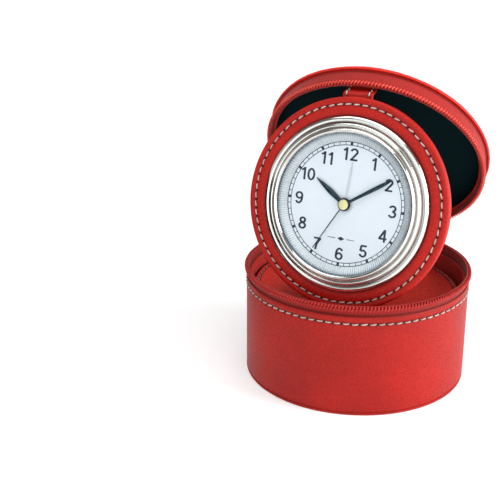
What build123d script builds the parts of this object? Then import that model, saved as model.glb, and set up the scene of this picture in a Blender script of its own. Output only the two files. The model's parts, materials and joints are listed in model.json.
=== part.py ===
from build123d import *
import os
from math import cos, pi, radians, sin

# Travel alarm clock in a round zip case, standing open: the lid leans back on its leather hinge,
# and a round leather plate that carries the clock stands as an easel on the padded cover in the base.
# Millimetres. +Z is up, the lid hinge is at +Y, and the origin is the middle of the base's underside.

# ---- driving dimensions: case ----
CASE_R = 46.0             # outside of the leather wrap
LEATHER = 1.0             # leather thickness on the case
LEATHER_TOP = 42.2        # upper edge of the base's leather
DRUM_R_IN = 43.9          # inside of the stiff drum
TAPE_R_IN = 45.0          # zip tape, inside and outside radius
TAPE_R_OUT = 45.5
COIL_R_OUT = 46.7         # zip coil, outside radius
COIL_HEIGHT = 2.7         # one half of the zip coil
MOUTH_Z = 46.6            # plane where the lid and the base meet
ZIP_GAP = 0.3             # from that plane to each coil
LINER_R_IN = 42.4         # inner sleeve of the compartment
LINER_TOP = 33.0
PAD_TOP = 37.3            # top of the padded cover at its middle
PAD_TILT = 1.5            # the loose cover rides up on the -X side, degrees

# ---- driving dimensions: lid ----
LID_R = 47.1              # rolled leather edge
LID_TOP = 56.2            # closed
LID_TAPE_TOP = 53.7
LID_CEILING = 53.8        # underside of the lining, closed
LID_OPEN = 54.8           # rest angle from closed, degrees
HINGE_Y = 46.6
HINGE_HALF_ARC = 23.7     # leather hinge panel, half of its arc, degrees
STRAP_WIDTH = 12.0

# ---- driving dimensions: clock plate ----
PLATE_R = 41.4
PLATE_THICK = 3.0
PLATE_CENTRE = Vector(0, -22.0, 78.6)
PLATE_AZIMUTH = -96.6     # direction that the dial faces, degrees about Z from +X
PLATE_LEAN = 12.75        # and its angle above level
BEZEL_R = 34.0
GLASS_R = 27.7
BEZEL_PEAK = 4.0
CLOCK_R = 31.0            # round movement case behind the plate
CLOCK_BACK = -11.0        # its back, measured from the plate's front

# ---- driving dimensions: hands, degrees clockwise from 12 ----
HOUR_ANGLE = 305.0
MINUTE_ANGLE = 57.0
SECOND_ANGLE = 210.5
ALARM_ANGLE = 3.5
HOUR_LENGTH = 15.5
MINUTE_LENGTH = 21.7
SECOND_LENGTH = 21.5
ALARM_LENGTH = 16.7

# ---- driving dimensions: gear train (teeth and modules) ----
TRAIN_DISTANCE = 8.5      # centre arbor to third arbor, and to intermediate arbor
SECOND_PINION = 8
THIRD_WHEEL = 60
THIRD_PINION = 8
CENTRE_WHEEL = 64
SECOND_WHEEL = 60
INTERMEDIATE_PINION = 8
INTERMEDIATE_WHEEL = 32
ROTOR_PINION = 8
CANNON_PINION = 12
MINUTE_WHEEL = 36
MINUTE_PINION = 10
HOUR_WHEEL = 40
SET_PINION = 12
ALARM_WHEEL = 40
ALARM_PINION = 16
MOTION_MODULE = 0.3
ROTOR_MODULE = 0.25
ROTOR_DISTANCE = (ROTOR_PINION + INTERMEDIATE_WHEEL) * ROTOR_MODULE / 2
MOTION_DISTANCE = (CANNON_PINION + MINUTE_WHEEL) * MOTION_MODULE / 2
ALARM_DISTANCE = (ALARM_WHEEL + ALARM_PINION) * MOTION_MODULE / 2

# ---- zip slider ----
SLIDER_AZIMUTH = 58.0     # parked at the open end, beside the hinge panel
SLIDER_HALF_ARC = 6.0
BAIL_R = 49.6

OUT = "parts"
os.makedirs(OUT, exist_ok=True)


def save(name, shape):
    export_step(shape, os.path.join(OUT, name + ".step"))


# ---------------------------------------------------------------- helpers
def disc(radius, low, high):
    """Solid disc about Z between two heights."""
    return Pos(0, 0, low) * Cylinder(radius, high - low, align=(Align.CENTER, Align.CENTER, Align.MIN))


def ring(inner, outer, low, high):
    """Tube about Z between two heights."""
    return disc(outer, low, high) - disc(inner, low - 1, high + 1)


def lathe(points, arc=360.0, start=0.0):
    """Revolve an outline of (radius, height) points about Z, from the start azimuth."""
    face = make_face(Plane.XZ * Polyline(*points, close=True))
    return Rot(0, 0, start) * revolve(face, Axis.Z, arc)


def arc_band(inner, outer, low, high, middle, half_arc):
    """Part of a tube, centred on an azimuth."""
    outline = [(inner, low), (outer, low), (outer, high), (inner, high)]
    return lathe(outline, 2 * half_arc, middle - half_arc)


def block(x, y, z, centre=(0, 0, 0)):
    return Pos(*centre) * Box(x, y, z)


def gear(teeth, module, low, high, bore=0.0, phase=0.0):
    """Spur wheel with straight-sided teeth, thin enough for clear backlash. Tooth 0 points to +X plus phase."""
    pitch_r = teeth * module / 2
    root_r = pitch_r - 1.15 * module
    tip_r = pitch_r + 0.75 * module
    half_root = 0.42 * pi / teeth * 1.25
    half_tip = 0.42 * pi / teeth * 0.45
    outline = []
    for tooth in range(teeth):
        middle = 2 * pi * tooth / teeth + radians(phase)
        for radius, offset in ((root_r, -half_root), (tip_r, -half_tip), (tip_r, half_tip), (root_r, half_root)):
            outline.append((radius * cos(middle + offset), radius * sin(middle + offset)))
    face = make_face(Polyline(*outline, close=True))
    wheel = Pos(0, 0, low) * extrude(face, amount=high - low)
    if bore > 0:
        wheel -= disc(bore, low - 1, high + 1)
    return wheel


def mesh_phase(own_teeth, other_teeth, direction, other_phase=0.0):
    """Phase that puts a gap of this wheel where the other wheel's tooth line crosses the line of centres.

    direction is the angle, in degrees, from the other wheel's centre to this wheel's centre.
    """
    other_pitch = 360.0 / other_teeth
    own_pitch = 360.0 / own_teeth
    past_tooth = (direction - other_phase) % other_pitch / other_pitch
    return direction + 180.0 + own_pitch / 2 + past_tooth * own_pitch


def polar(radius, angle):
    return Vector(radius * cos(radians(angle)), radius * sin(radians(angle)), 0)


def at(centre, shape):
    return Pos(centre.X, centre.Y, centre.Z) * shape


# ---------------------------------------------------------------- frames
normal = Vector(
    cos(radians(PLATE_AZIMUTH)) * cos(radians(PLATE_LEAN)),
    sin(radians(PLATE_AZIMUTH)) * cos(radians(PLATE_LEAN)),
    sin(radians(PLATE_LEAN)),
)
plate_right = Vector(0, 0, 1).cross(normal).normalized()
plate_up = normal.cross(plate_right)
plate_frame = Plane(origin=PLATE_CENTRE, x_dir=plate_right, z_dir=normal)
hinge_axis = Axis((0, HINGE_Y, MOUTH_Z), (1, 0, 0))


def opened(shape):
    """Turn a lid piece, drawn closed, back to its rest angle."""
    return shape.rotate(hinge_axis, -LID_OPEN)


def on_plate(shape):
    """Place a clock piece, drawn face up about Z, on the standing plate."""
    return plate_frame.location * shape


# ---------------------------------------------------------------- base
coil_low = MOUTH_Z - ZIP_GAP - COIL_HEIGHT
coil_high = MOUTH_Z - ZIP_GAP
BOTTOM_LEATHER = 1.1
BOARD = 1.5
CHAIN_ARC = 180.0 - HINGE_HALF_ARC - 3.0   # half of the zip's arc, centred on the front
TAPE_SEAM = 36.0                           # the tape is sewn in from this height up


def base_bottom_cover():
    cover = disc(CASE_R, 0, BOTTOM_LEATHER)
    return fillet(cover.edges().group_by(Axis.Z)[0], 0.5)


def base_bottom_board():
    return disc(DRUM_R_IN, BOTTOM_LEATHER, BOTTOM_LEATHER + BOARD)


def base_drum():
    """Stiff wall that stands on the bottom leather."""
    return ring(DRUM_R_IN, CASE_R - LEATHER, BOTTOM_LEATHER, LEATHER_TOP - 0.2)


def base_leather_wrap():
    """Outer leather, thinned inside its upper edge where the tape is sewn in."""
    return lathe([
        (CASE_R - LEATHER, BOTTOM_LEATHER), (CASE_R, BOTTOM_LEATHER), (CASE_R, LEATHER_TOP),
        (TAPE_R_OUT, LEATHER_TOP), (TAPE_R_OUT, TAPE_SEAM), (CASE_R - LEATHER, TAPE_SEAM),
    ])


def base_zip_tape():
    return ring(TAPE_R_IN, TAPE_R_OUT, TAPE_SEAM, coil_high)


def base_zip_coil():
    return arc_band(TAPE_R_OUT, COIL_R_OUT, coil_low, coil_high, -90, CHAIN_ARC)


def zip_end_stops():
    stops = []
    for side in (-1, 1):
        middle = -90 + side * (CHAIN_ARC + 1.0)
        stops.append(arc_band(TAPE_R_OUT, COIL_R_OUT + 0.1, coil_low, coil_high, middle, 0.9))
    return Compound(stops)


def base_liner():
    return ring(LINER_R_IN, DRUM_R_IN, BOTTOM_LEATHER + BOARD, LINER_TOP)


def base_liner_floor():
    low = BOTTOM_LEATHER + BOARD
    return disc(LINER_R_IN, low, low + 0.6)


def pad_layer(radius, low, high, edge=0.0):
    layer = disc(radius, low, high)
    if edge > 0:
        layer = fillet(layer.edges().group_by(Axis.Z)[-1], edge)
    return layer.rotate(Axis((0, 0, PAD_TOP), (0, 1, 0)), PAD_TILT)


PAD_LEATHER_R = 42.7
PAD_BOARD_THICK = 1.2
PAD_LEATHER_THICK = 1.8


def pad_board():
    low = PAD_TOP - PAD_LEATHER_THICK - PAD_BOARD_THICK
    return pad_layer(PAD_LEATHER_R - 0.5, low, PAD_TOP - PAD_LEATHER_THICK)


def floor_pad():
    return pad_layer(PAD_LEATHER_R, PAD_TOP - PAD_LEATHER_THICK, PAD_TOP, edge=0.8)


PANEL_IN = CASE_R + 0.05
PANEL_OUT = PANEL_IN + 1.0
PANEL_BEND = 43.0         # the panel leaves the base's side here
PANEL_LIP = 50.6          # and ends here, measured closed


def panel_section(height, offset):
    """Cross-section of the hinge panel, level, at a height."""
    half = radians(HINGE_HALF_ARC)
    section = []
    for radius in (PANEL_IN + offset, PANEL_OUT + offset):
        ends = [(-radius * sin(half), radius * cos(half)), (0, radius), (radius * sin(half), radius * cos(half))]
        section.append(ends)
    inner, outer = section
    outline = ThreePointArc(*inner) + Line(inner[2], outer[2])
    outline += ThreePointArc(*outer) + Line(outer[0], inner[0])
    return Pos(0, 0, height) * make_face(outline)


def hinge_panel():
    """Leather panel up the back of the base, bent over the hinge to the lid's edge."""
    lower = arc_band(PANEL_IN, PANEL_OUT, BOTTOM_LEATHER, PANEL_BEND, 90, HINGE_HALF_ARC)
    start = panel_section(PANEL_BEND, 0)
    middle = panel_section(MOUTH_Z, 1.2).rotate(hinge_axis, -LID_OPEN / 2)
    end = panel_section(PANEL_LIP, 1.2).rotate(hinge_axis, -LID_OPEN)
    return lower + loft([start, middle, end])


# ---------------------------------------------------------------- lid, drawn closed
LID_WALL_IN = 43.6
LID_LINING = 0.3


def lid_zip_tape():
    return ring(TAPE_R_IN, TAPE_R_OUT, MOUTH_Z + ZIP_GAP, LID_TAPE_TOP)


def lid_zip_coil():
    low = MOUTH_Z + ZIP_GAP
    return arc_band(TAPE_R_OUT, COIL_R_OUT, low, low + COIL_HEIGHT, -90, CHAIN_ARC)


def lid_hoop():
    """Stiff hoop that keeps the lid's wall round."""
    return ring(LID_WALL_IN + LID_LINING, TAPE_R_IN, MOUTH_Z + 3.4, LID_TAPE_TOP)


def lid_edge_binding():
    """Rolled leather edge that joins the tape to the top disc."""
    low = LID_TAPE_TOP
    high = LID_TOP - 0.3
    middle = (low + high) / 2
    outline = Polyline((TAPE_R_IN, low), (LID_R - 0.8, low)) + ThreePointArc(
        (LID_R - 0.8, low), (LID_R, middle), (LID_R - 0.8, high)
    )
    outline += Polyline((LID_R - 0.8, high), (TAPE_R_IN, high), (TAPE_R_IN, low))
    return revolve(make_face(Plane.XZ * outline), Axis.Z)


def lid_board():
    return disc(TAPE_R_IN, LID_CEILING + LID_LINING, LID_TOP - 1.0)


def lid_top_leather():
    """Top disc with its edge turned down inside the rolled edge."""
    top = disc(LID_R - 1.1, LID_TOP - 0.3, LID_TOP + 0.5)
    top = fillet(top.edges().group_by(Axis.Z)[-1], 0.6)
    return top + disc(TAPE_R_IN, LID_TOP - 1.0, LID_TOP - 0.3)


def lid_lining():
    """Dark lining: a shallow cup over the board and the hoop."""
    cup = disc(LID_WALL_IN + LID_LINING, MOUTH_Z + 3.4, LID_CEILING + LID_LINING)
    return cup - disc(LID_WALL_IN, MOUTH_Z, LID_CEILING)


def plate_point(up, out):
    """A point on the plate's line of symmetry: up the dial from its centre, and out from its front."""
    return PLATE_CENTRE + plate_up * up + normal * out


def lid_point(y, z):
    """A point in the plane of symmetry of the lid, given closed, at its rest place."""
    angle = radians(-LID_OPEN)
    dy, dz = y - HINGE_Y, z - MOUTH_Z
    return Vector(0, HINGE_Y + dy * cos(angle) - dz * sin(angle), MOUTH_Z + dy * sin(angle) + dz * cos(angle))


STRAP_THICK = 0.9
STRAP_STAND_OFF = 1.3     # keeps the strap clear of the plate's turned back


def strap():
    """Leather strap from inside the lid's front rim to the back of the plate."""
    route = [
        plate_point(33.5, -PLATE_THICK - STRAP_STAND_OFF),
        plate_point(41.0, -PLATE_THICK - STRAP_STAND_OFF),
        plate_point(42.8, -PLATE_THICK - STRAP_STAND_OFF - 0.6),
        lid_point(-LID_WALL_IN + 1.6, MOUTH_Z + 1.4),
        lid_point(-LID_WALL_IN + 1.4, LID_CEILING - 1.2),
    ]
    points = [(point.Y, point.Z) for point in route]
    line = Plane.YZ * Polyline(*points)
    band = offset(line, STRAP_THICK / 2)
    band = band if isinstance(band, Face) else make_face(band.wires()[0])
    return extrude(band, STRAP_WIDTH / 2, both=True)


# ---------------------------------------------------------------- clock plate, drawn face up
LEATHER_THIN = 0.9


def plate_front_leather():
    """Front leather, turned over the plate's edge."""
    front = disc(PLATE_R, -PLATE_THICK, 0) - disc(PLATE_R - LEATHER_THIN, -PLATE_THICK - 1, -LEATHER_THIN)
    front = fillet(front.edges().filter_by(GeomType.CIRCLE).group_by(Axis.Z)[-1], 0.6)
    return front - disc(CLOCK_R + 0.1, -5, 5)


def plate_board():
    return ring(CLOCK_R + 0.1, PLATE_R - LEATHER_THIN, -PLATE_THICK + LEATHER_THIN, -LEATHER_THIN)


def plate_back_leather():
    return ring(CLOCK_R + 0.1, PLATE_R - LEATHER_THIN, -PLATE_THICK, -PLATE_THICK + LEATHER_THIN)


CRYSTAL_LOW = 2.2
CRYSTAL_HIGH = 3.0
CRYSTAL_R = GLASS_R + 0.7


def bezel():
    """Stepped metal ring: three rounded steps with a groove between each pair."""
    return lathe([
        (CRYSTAL_R, 0), (BEZEL_R, 0), (BEZEL_R, 0.9), (BEZEL_R - 0.5, 1.6), (BEZEL_R - 1.4, 1.8),
        (BEZEL_R - 2.1, 1.4), (BEZEL_R - 2.3, 1.1), (BEZEL_R - 2.5, 1.4), (BEZEL_R - 2.8, 2.5),
        (BEZEL_R - 3.5, 2.9), (BEZEL_R - 4.1, 2.6), (BEZEL_R - 4.3, 2.2), (BEZEL_R - 4.5, 2.5),
        (BEZEL_R - 4.7, 3.5), (BEZEL_R - 5.3, BEZEL_PEAK), (GLASS_R + 0.4, 3.8), (GLASS_R, 3.3),
        (GLASS_R, CRYSTAL_HIGH), (CRYSTAL_R, CRYSTAL_HIGH),
    ])


def crystal():
    return disc(CRYSTAL_R, CRYSTAL_LOW, CRYSTAL_HIGH)


REHAUT_R_IN = 24.4


def rehaut_ring():
    """Sloping ring between the dial and the crystal."""
    return lathe([
        (REHAUT_R_IN, 0), (CRYSTAL_R, 0), (CRYSTAL_R, CRYSTAL_LOW), (GLASS_R - 0.4, CRYSTAL_LOW),
        (REHAUT_R_IN, 0.25),
    ])


DIAL_THICK = 0.6
DIAL_R = CLOCK_R - 1.1


def dial():
    return ring(2.3, DIAL_R, -DIAL_THICK, 0)


CASE_WALL_IN = CLOCK_R - 1.0
BACK_COVER = 1.0
SET_DIRECTION = 20.0
minute_centre = polar(MOTION_DISTANCE, 0)
set_centre = minute_centre + polar((MINUTE_WHEEL + SET_PINION) * MOTION_MODULE / 2, SET_DIRECTION)
alarm_set_centre = polar(ALARM_DISTANCE, -60)
third_centre = polar(TRAIN_DISTANCE, 90)
intermediate_centre = polar(TRAIN_DISTANCE, 200)
rotor_centre = polar(TRAIN_DISTANCE + ROTOR_DISTANCE, 200)
battery_centre = Vector(0, -19.5, 0)
switch_centre = Vector(-14.5, 14.3, 0)
buzzer_centre = Vector(-13.0, -16.6, 0)
KNOB_R = 3.2
DOOR_R = 7.4
SCREW_CIRCLE = 27.6
SCREW_ANGLES = (45, 135, 225, 315)


def movement_case():
    """Round plastic case behind the plate, with a ledge for the dial and posts for the cover's screws."""
    wall = ring(CASE_WALL_IN, CLOCK_R, CLOCK_BACK + BACK_COVER, 0)
    ledge = ring(CASE_WALL_IN - 1.5, CASE_WALL_IN, -1.4, -DIAL_THICK)
    case = wall + ledge
    for angle in SCREW_ANGLES:
        post = ring(0.65, 1.6, CLOCK_BACK + BACK_COVER, -1.4)
        case += at(polar(SCREW_CIRCLE, angle), post)
        rib = Rot(0, 0, angle) * block(1.4, 1.2, 8.6, (CASE_WALL_IN - 0.5, 0, -5.7))
        case += rib
    return case


def back_cover():
    cover = disc(CLOCK_R, CLOCK_BACK, CLOCK_BACK + BACK_COVER)
    for centre in (set_centre, alarm_set_centre):
        cover -= at(centre, disc(KNOB_R + 0.5, CLOCK_BACK - 1, 0))
    cover -= at(battery_centre, disc(DOOR_R + 0.1, CLOCK_BACK - 1, 0))
    cover -= block(8.2, 2.6, 4, (switch_centre.X, switch_centre.Y, CLOCK_BACK))
    for slot in range(5):
        cover -= at(buzzer_centre, block(8 - abs(slot - 2) * 1.4, 0.9, 4, (0, 1.8 * (slot - 2), CLOCK_BACK)))
    for angle in SCREW_ANGLES:
        cover -= at(polar(SCREW_CIRCLE, angle), disc(1.0, CLOCK_BACK - 1, 0))
    return cover


def screw(head_r, shank_r, head_low, head_high, tip):
    """Pan head screw along Z with a cross slot; its head is at the back."""
    body = disc(head_r, head_low, head_high) + disc(shank_r, head_high, tip)
    body -= block(head_r * 1.3, 0.35, 0.5, (0, 0, head_low))
    body -= block(0.35, head_r * 1.3, 0.5, (0, 0, head_low))
    return body


def case_screws():
    """Counterbored screws: the heads sit in the cover, and the shanks in the case's posts."""
    screws = []
    for angle in SCREW_ANGLES:
        one = screw(0.95, 0.6, CLOCK_BACK + 0.1, CLOCK_BACK + BACK_COVER, -6.0)
        screws.append(at(polar(SCREW_CIRCLE, angle), one))
    return Compound(screws)


def battery_door():
    """Round door over the button cell, with a coin slot."""
    door = disc(DOOR_R, CLOCK_BACK, CLOCK_BACK + 0.9)
    door -= block(8, 1.3, 0.8, (0, 0, CLOCK_BACK))
    return at(battery_centre, door)


CELL_R = 5.8
CELL_LOW = CLOCK_BACK + 1.3


def button_cell():
    cell = disc(CELL_R, CELL_LOW, CELL_LOW + 4.4) + disc(CELL_R - 0.9, CELL_LOW + 4.4, CELL_LOW + 5.2)
    return at(battery_centre, cell)


def battery_contacts():
    """Two spring strips: one under the cell, and one beside it."""
    front = block(8.0, 3.0, 0.26, (0, 0, CELL_LOW + 5.35))
    side = arc_band(CELL_R + 0.15, CELL_R + 0.5, CELL_LOW + 0.4, CELL_LOW + 5.0, 90, 28)
    return at(battery_centre, Compound([front, side]))


# ---- movement ----
PLATE_LOW = -4.2
PLATE_HIGH = -3.4
BRIDGE_LOW = -9.3
BRIDGE_HIGH = -8.5
ARBOR = 0.4
PIVOT_HOLE = ARBOR + 0.06
pillar_centres = [Vector(-10.5, 10.5, 0), Vector(11.5, 10.5, 0), Vector(12.5, -6.0, 0)]


def movement_plate():
    """Dial-side plate with the pivot holes, the minute wheel's post and the bridge's pillars."""
    plate = disc(25.5, PLATE_LOW, PLATE_HIGH)
    plate -= disc(1.05, -5, -3)
    for centre in (third_centre, intermediate_centre, rotor_centre, set_centre, alarm_set_centre):
        plate -= at(centre, disc(PIVOT_HOLE, -5, -3))
    plate += at(minute_centre, disc(0.55, PLATE_HIGH, -1.75))
    for centre in pillar_centres:
        plate += at(centre, ring(0.5, 1.4, BRIDGE_HIGH, PLATE_LOW))
    return plate


def wheel_bridge():
    """Back plate that holds the train's rear pivots."""
    outline = make_face(Polyline(
        (-15.5, -7.5), (-15.5, 3), (-12.5, 11.8), (13.5, 13), (15, 5), (15, -8), (9.5, -10.5), (-9, -10.5), close=True,
    ))
    bridge = Pos(0, 0, BRIDGE_LOW) * extrude(outline, amount=BRIDGE_HIGH - BRIDGE_LOW)
    for centre in (Vector(0, 0, 0), third_centre, intermediate_centre, rotor_centre):
        bridge -= at(centre, disc(PIVOT_HOLE, -10, -8))
    for centre in (set_centre, alarm_set_centre):
        bridge -= at(centre, disc(0.8, -10, -8))
    for centre in pillar_centres:
        bridge -= at(centre, disc(0.55, -10, -8))
    return bridge


def bridge_screws():
    screws = [at(centre, screw(1.1, 0.45, BRIDGE_LOW - 0.6, BRIDGE_LOW, -6.0)) for centre in pillar_centres]
    return Compound(screws)


def motor_stator():
    """Soft iron stator: a plate round the rotor, with two arms to the coil's core."""
    low, high = -7.6, -6.8
    plate = block(3.2, 19, high - low, (-20.5, 0, (low + high) / 2)) - block(9, 13, 3, (-23.5, 0, low))
    arms = block(9.0, 3.0, high - low, (-19.5, 8.0, (low + high) / 2))
    arms += block(9.0, 3.0, high - low, (-19.5, -8.0, (low + high) / 2))
    yoke = block(5.4, 5.4, high - low, (rotor_centre.X, rotor_centre.Y, (low + high) / 2))
    link = block(5.0, 2.6, high - low, (-16.8, -7.6, (low + high) / 2))
    body = plate + arms + yoke + link
    return body - at(rotor_centre, disc(2.1, -9, -5))


def motor_coil():
    """Copper winding on its bobbin, between the stator's arms."""
    winding = Rot(90, 0, 0) * Cylinder(2.3, 11.0)
    winding -= Rot(90, 0, 0) * Cylinder(0.9, 20.0)
    flanges = [Pos(0, y, 0) * (Rot(90, 0, 0) * (Cylinder(2.7, 0.6) - Cylinder(0.9, 2.0))) for y in (-5.8, 5.8)]
    body = winding + flanges[0] + flanges[1]
    return Pos(-24.4, 0, -7.2) * body


board_centre = Vector(19.5, -13.0, -8.9)
BOARD_THICK = 0.8


def circuit_board():
    return at(board_centre, block(8.0, 9.0, BOARD_THICK))


def quartz_can():
    """Tuning-fork crystal can, lying on the board."""
    radius = 1.05
    return at(board_centre, Pos(0, -2.8, BOARD_THICK / 2 + radius) * (Rot(0, 90, 0) * Cylinder(radius, 6.2)))


def controller_chip():
    return at(board_centre, block(4.6, 4.2, 1.2, (0, 1.4, BOARD_THICK / 2 + 0.6)))


def buzzer():
    """Round sounder behind the grille in the back cover."""
    return at(buzzer_centre, disc(5.0, -9.7, -8.1) - disc(1.0, -11, -9.2))


# ---- wheels and arbors: each is one solid on its own axis ----
def rotor():
    body = disc(0.3, BRIDGE_LOW + 0.1, PLATE_HIGH - 0.1) + disc(1.6, -7.9, -6.5)
    body += gear(ROTOR_PINION, ROTOR_MODULE, -5.8, -5.0, phase=rotor_phase)
    return at(rotor_centre, body)


def intermediate_wheel():
    arbor = disc(ARBOR, BRIDGE_LOW + 0.1, PLATE_HIGH - 0.1)
    wheel = gear(INTERMEDIATE_WHEEL, ROTOR_MODULE, -5.6, -5.2, phase=intermediate_wheel_phase)
    pinion = gear(INTERMEDIATE_PINION, TRAIN_MODULE_A, -8.3, -7.7, phase=intermediate_phase)
    return at(intermediate_centre, arbor + wheel + pinion)


TRAIN_MODULE_A = 2 * TRAIN_DISTANCE / (SECOND_PINION + THIRD_WHEEL)
TRAIN_MODULE_B = 2 * TRAIN_DISTANCE / (THIRD_PINION + CENTRE_WHEEL)
HOUR_MODULE = 2 * MOTION_DISTANCE / (MINUTE_PINION + HOUR_WHEEL)
intermediate_phase = mesh_phase(INTERMEDIATE_PINION, SECOND_WHEEL, 200)
intermediate_wheel_phase = 0.0
rotor_phase = mesh_phase(ROTOR_PINION, INTERMEDIATE_WHEEL, 200, intermediate_wheel_phase)
third_wheel_phase = mesh_phase(THIRD_WHEEL, SECOND_PINION, 90)
third_pinion_phase = mesh_phase(THIRD_PINION, CENTRE_WHEEL, 90)
minute_wheel_phase = mesh_phase(MINUTE_WHEEL, CANNON_PINION, 0)
minute_pinion_phase = mesh_phase(MINUTE_PINION, HOUR_WHEEL, 0)
set_phase = mesh_phase(SET_PINION, MINUTE_WHEEL, SET_DIRECTION, minute_wheel_phase)
alarm_pinion_phase = mesh_phase(ALARM_PINION, ALARM_WHEEL, -60)


def second_wheel():
    arbor = disc(ARBOR, BRIDGE_LOW + 0.1, 1.75)
    wheel = gear(SECOND_WHEEL, TRAIN_MODULE_A, -8.2, -7.8)
    pinion = gear(SECOND_PINION, TRAIN_MODULE_A, -7.8, -7.1)
    return arbor + wheel + pinion


def third_wheel():
    arbor = disc(ARBOR, BRIDGE_LOW + 0.1, PLATE_HIGH - 0.1)
    wheel = gear(THIRD_WHEEL, TRAIN_MODULE_A, -7.7, -7.3, phase=third_wheel_phase)
    pinion = gear(THIRD_PINION, TRAIN_MODULE_B, -6.9, -6.0, phase=third_pinion_phase)
    return at(third_centre, arbor + wheel + pinion)


def centre_wheel():
    """Centre wheel with the cannon tube that carries the minute hand."""
    tube = ring(0.5, 0.95, -6.8, 1.4)
    wheel = gear(CENTRE_WHEEL, TRAIN_MODULE_B, -6.6, -6.2, bore=0.5)
    cannon = gear(CANNON_PINION, MOTION_MODULE, -3.2, -2.6, bore=0.5)
    return tube + wheel + cannon


def minute_wheel():
    wheel = gear(MINUTE_WHEEL, MOTION_MODULE, -3.1, -2.7, bore=0.61, phase=minute_wheel_phase)
    pinion = gear(MINUTE_PINION, HOUR_MODULE, -2.7, -1.9, bore=0.61, phase=minute_pinion_phase)
    return at(minute_centre, wheel + pinion)


def hour_wheel():
    tube = ring(1.05, 1.5, -2.45, 0.95)
    return tube + gear(HOUR_WHEEL, HOUR_MODULE, -2.45, -2.05, bore=1.05)


def alarm_wheel():
    tube = ring(1.6, 2.1, -1.7, 0.45)
    return tube + gear(ALARM_WHEEL, MOTION_MODULE, -1.7, -1.3, bore=1.6)


def knob(centre, teeth, low, high, phase):
    """Setting knob: a fluted disc in the cover's recess, its arbor, and the pinion at the front end."""
    disc_part = disc(KNOB_R, CLOCK_BACK + 0.1, CLOCK_BACK + 1.3)
    for flute in range(16):
        disc_part -= at(polar(KNOB_R + 0.1, flute * 22.5), disc(0.3, CLOCK_BACK - 1, CLOCK_BACK + 2))
    disc_part -= block(4.2, 0.9, 0.8, (0, 0, CLOCK_BACK + 0.1))
    body = disc_part + disc(ARBOR, CLOCK_BACK + 1.3, high)
    body += gear(teeth, MOTION_MODULE, low, high, phase=phase)
    return at(centre, body)


def time_set_knob():
    return knob(set_centre, SET_PINION, -3.2, -2.6, set_phase)


def alarm_set_knob():
    return knob(alarm_set_centre, ALARM_PINION, -1.8, -1.2, alarm_pinion_phase)


def alarm_switch():
    """Sliding button in the cover's slot, with the foot that keeps it in."""
    button = block(3.0, 2.3, 1.5, (-2.0, 0, CLOCK_BACK + 0.85))
    foot = block(4.6, 4.0, 0.5, (-2.0, 0, CLOCK_BACK + 1.35 + 0.3))
    return at(switch_centre, button + foot)


# ---- hands, drawn pointing to +Y and turned clockwise ----
def hand(outline, hub_r, bore, low, high, angle):
    blade = make_face(Polyline(*outline, close=True))
    body = Pos(0, 0, low) * extrude(blade, amount=high - low)
    body += disc(hub_r, low, high)
    body -= disc(bore, low - 1, high + 1)
    return Rot(0, 0, -angle) * body


def lance(length, half_width, half_root, shoulder):
    """Outline of a lance hand: narrow at the root, widest at the shoulder, and a point."""
    return [
        (-half_root, 0), (-half_width, shoulder), (0, length), (half_width, shoulder), (half_root, 0),
    ]


def hour_hand():
    return hand(lance(HOUR_LENGTH, 1.2, 0.8, 9.0), 2.6, 1.5, 0.75, 0.95, HOUR_ANGLE)


def minute_hand():
    return hand(lance(MINUTE_LENGTH, 0.85, 0.6, 12.0), 2.3, 0.95, 1.2, 1.4, MINUTE_ANGLE)


def second_hand():
    """Thin straight hand with no tail."""
    outline = [(-0.22, 0), (-0.18, SECOND_LENGTH), (0.18, SECOND_LENGTH), (0.22, 0)]
    return hand(outline, 1.2, ARBOR, 1.6, 1.75, SECOND_ANGLE)


def second_hand_cap():
    cap = disc(2.0, 1.75, 2.1)
    return fillet(cap.edges().group_by(Axis.Z)[-1], 0.25)


def alarm_hand():
    outline = [(-0.35, 0), (-0.25, ALARM_LENGTH), (0.25, ALARM_LENGTH), (0.35, 0)]
    return hand(outline, 2.9, 2.1, 0.3, 0.45, ALARM_ANGLE)


# ---------------------------------------------------------------- zip slider, drawn at +X
SLIDER_LOW = MOUTH_Z - 3.2
SLIDER_HIGH = MOUTH_Z + 3.2
PULL_LENGTH = 27.0


def zip_slider():
    """Outer and inner plates joined by a web between the coils, and a bail on the outside."""
    outer = arc_band(COIL_R_OUT + 0.2, COIL_R_OUT + 1.1, SLIDER_LOW, SLIDER_HIGH, 0, SLIDER_HALF_ARC)
    inner = arc_band(TAPE_R_IN - 1.0, TAPE_R_IN - 0.15, SLIDER_LOW, SLIDER_HIGH, 0, SLIDER_HALF_ARC)
    web = arc_band(TAPE_R_IN - 0.6, COIL_R_OUT + 0.6, MOUTH_Z - 0.2, MOUTH_Z + 0.2, 0, 3.0)
    body = outer + inner + web
    bar = Pos(BAIL_R, 0, MOUTH_Z) * (Rot(90, 0, 0) * Cylinder(0.55, 6.4))
    for side in (-1, 1):
        body += block(3.0, 0.9, 2.0, (BAIL_R - 0.95, side * 2.8, MOUTH_Z))
    return Rot(0, 0, SLIDER_AZIMUTH) * (body + bar)


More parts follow.
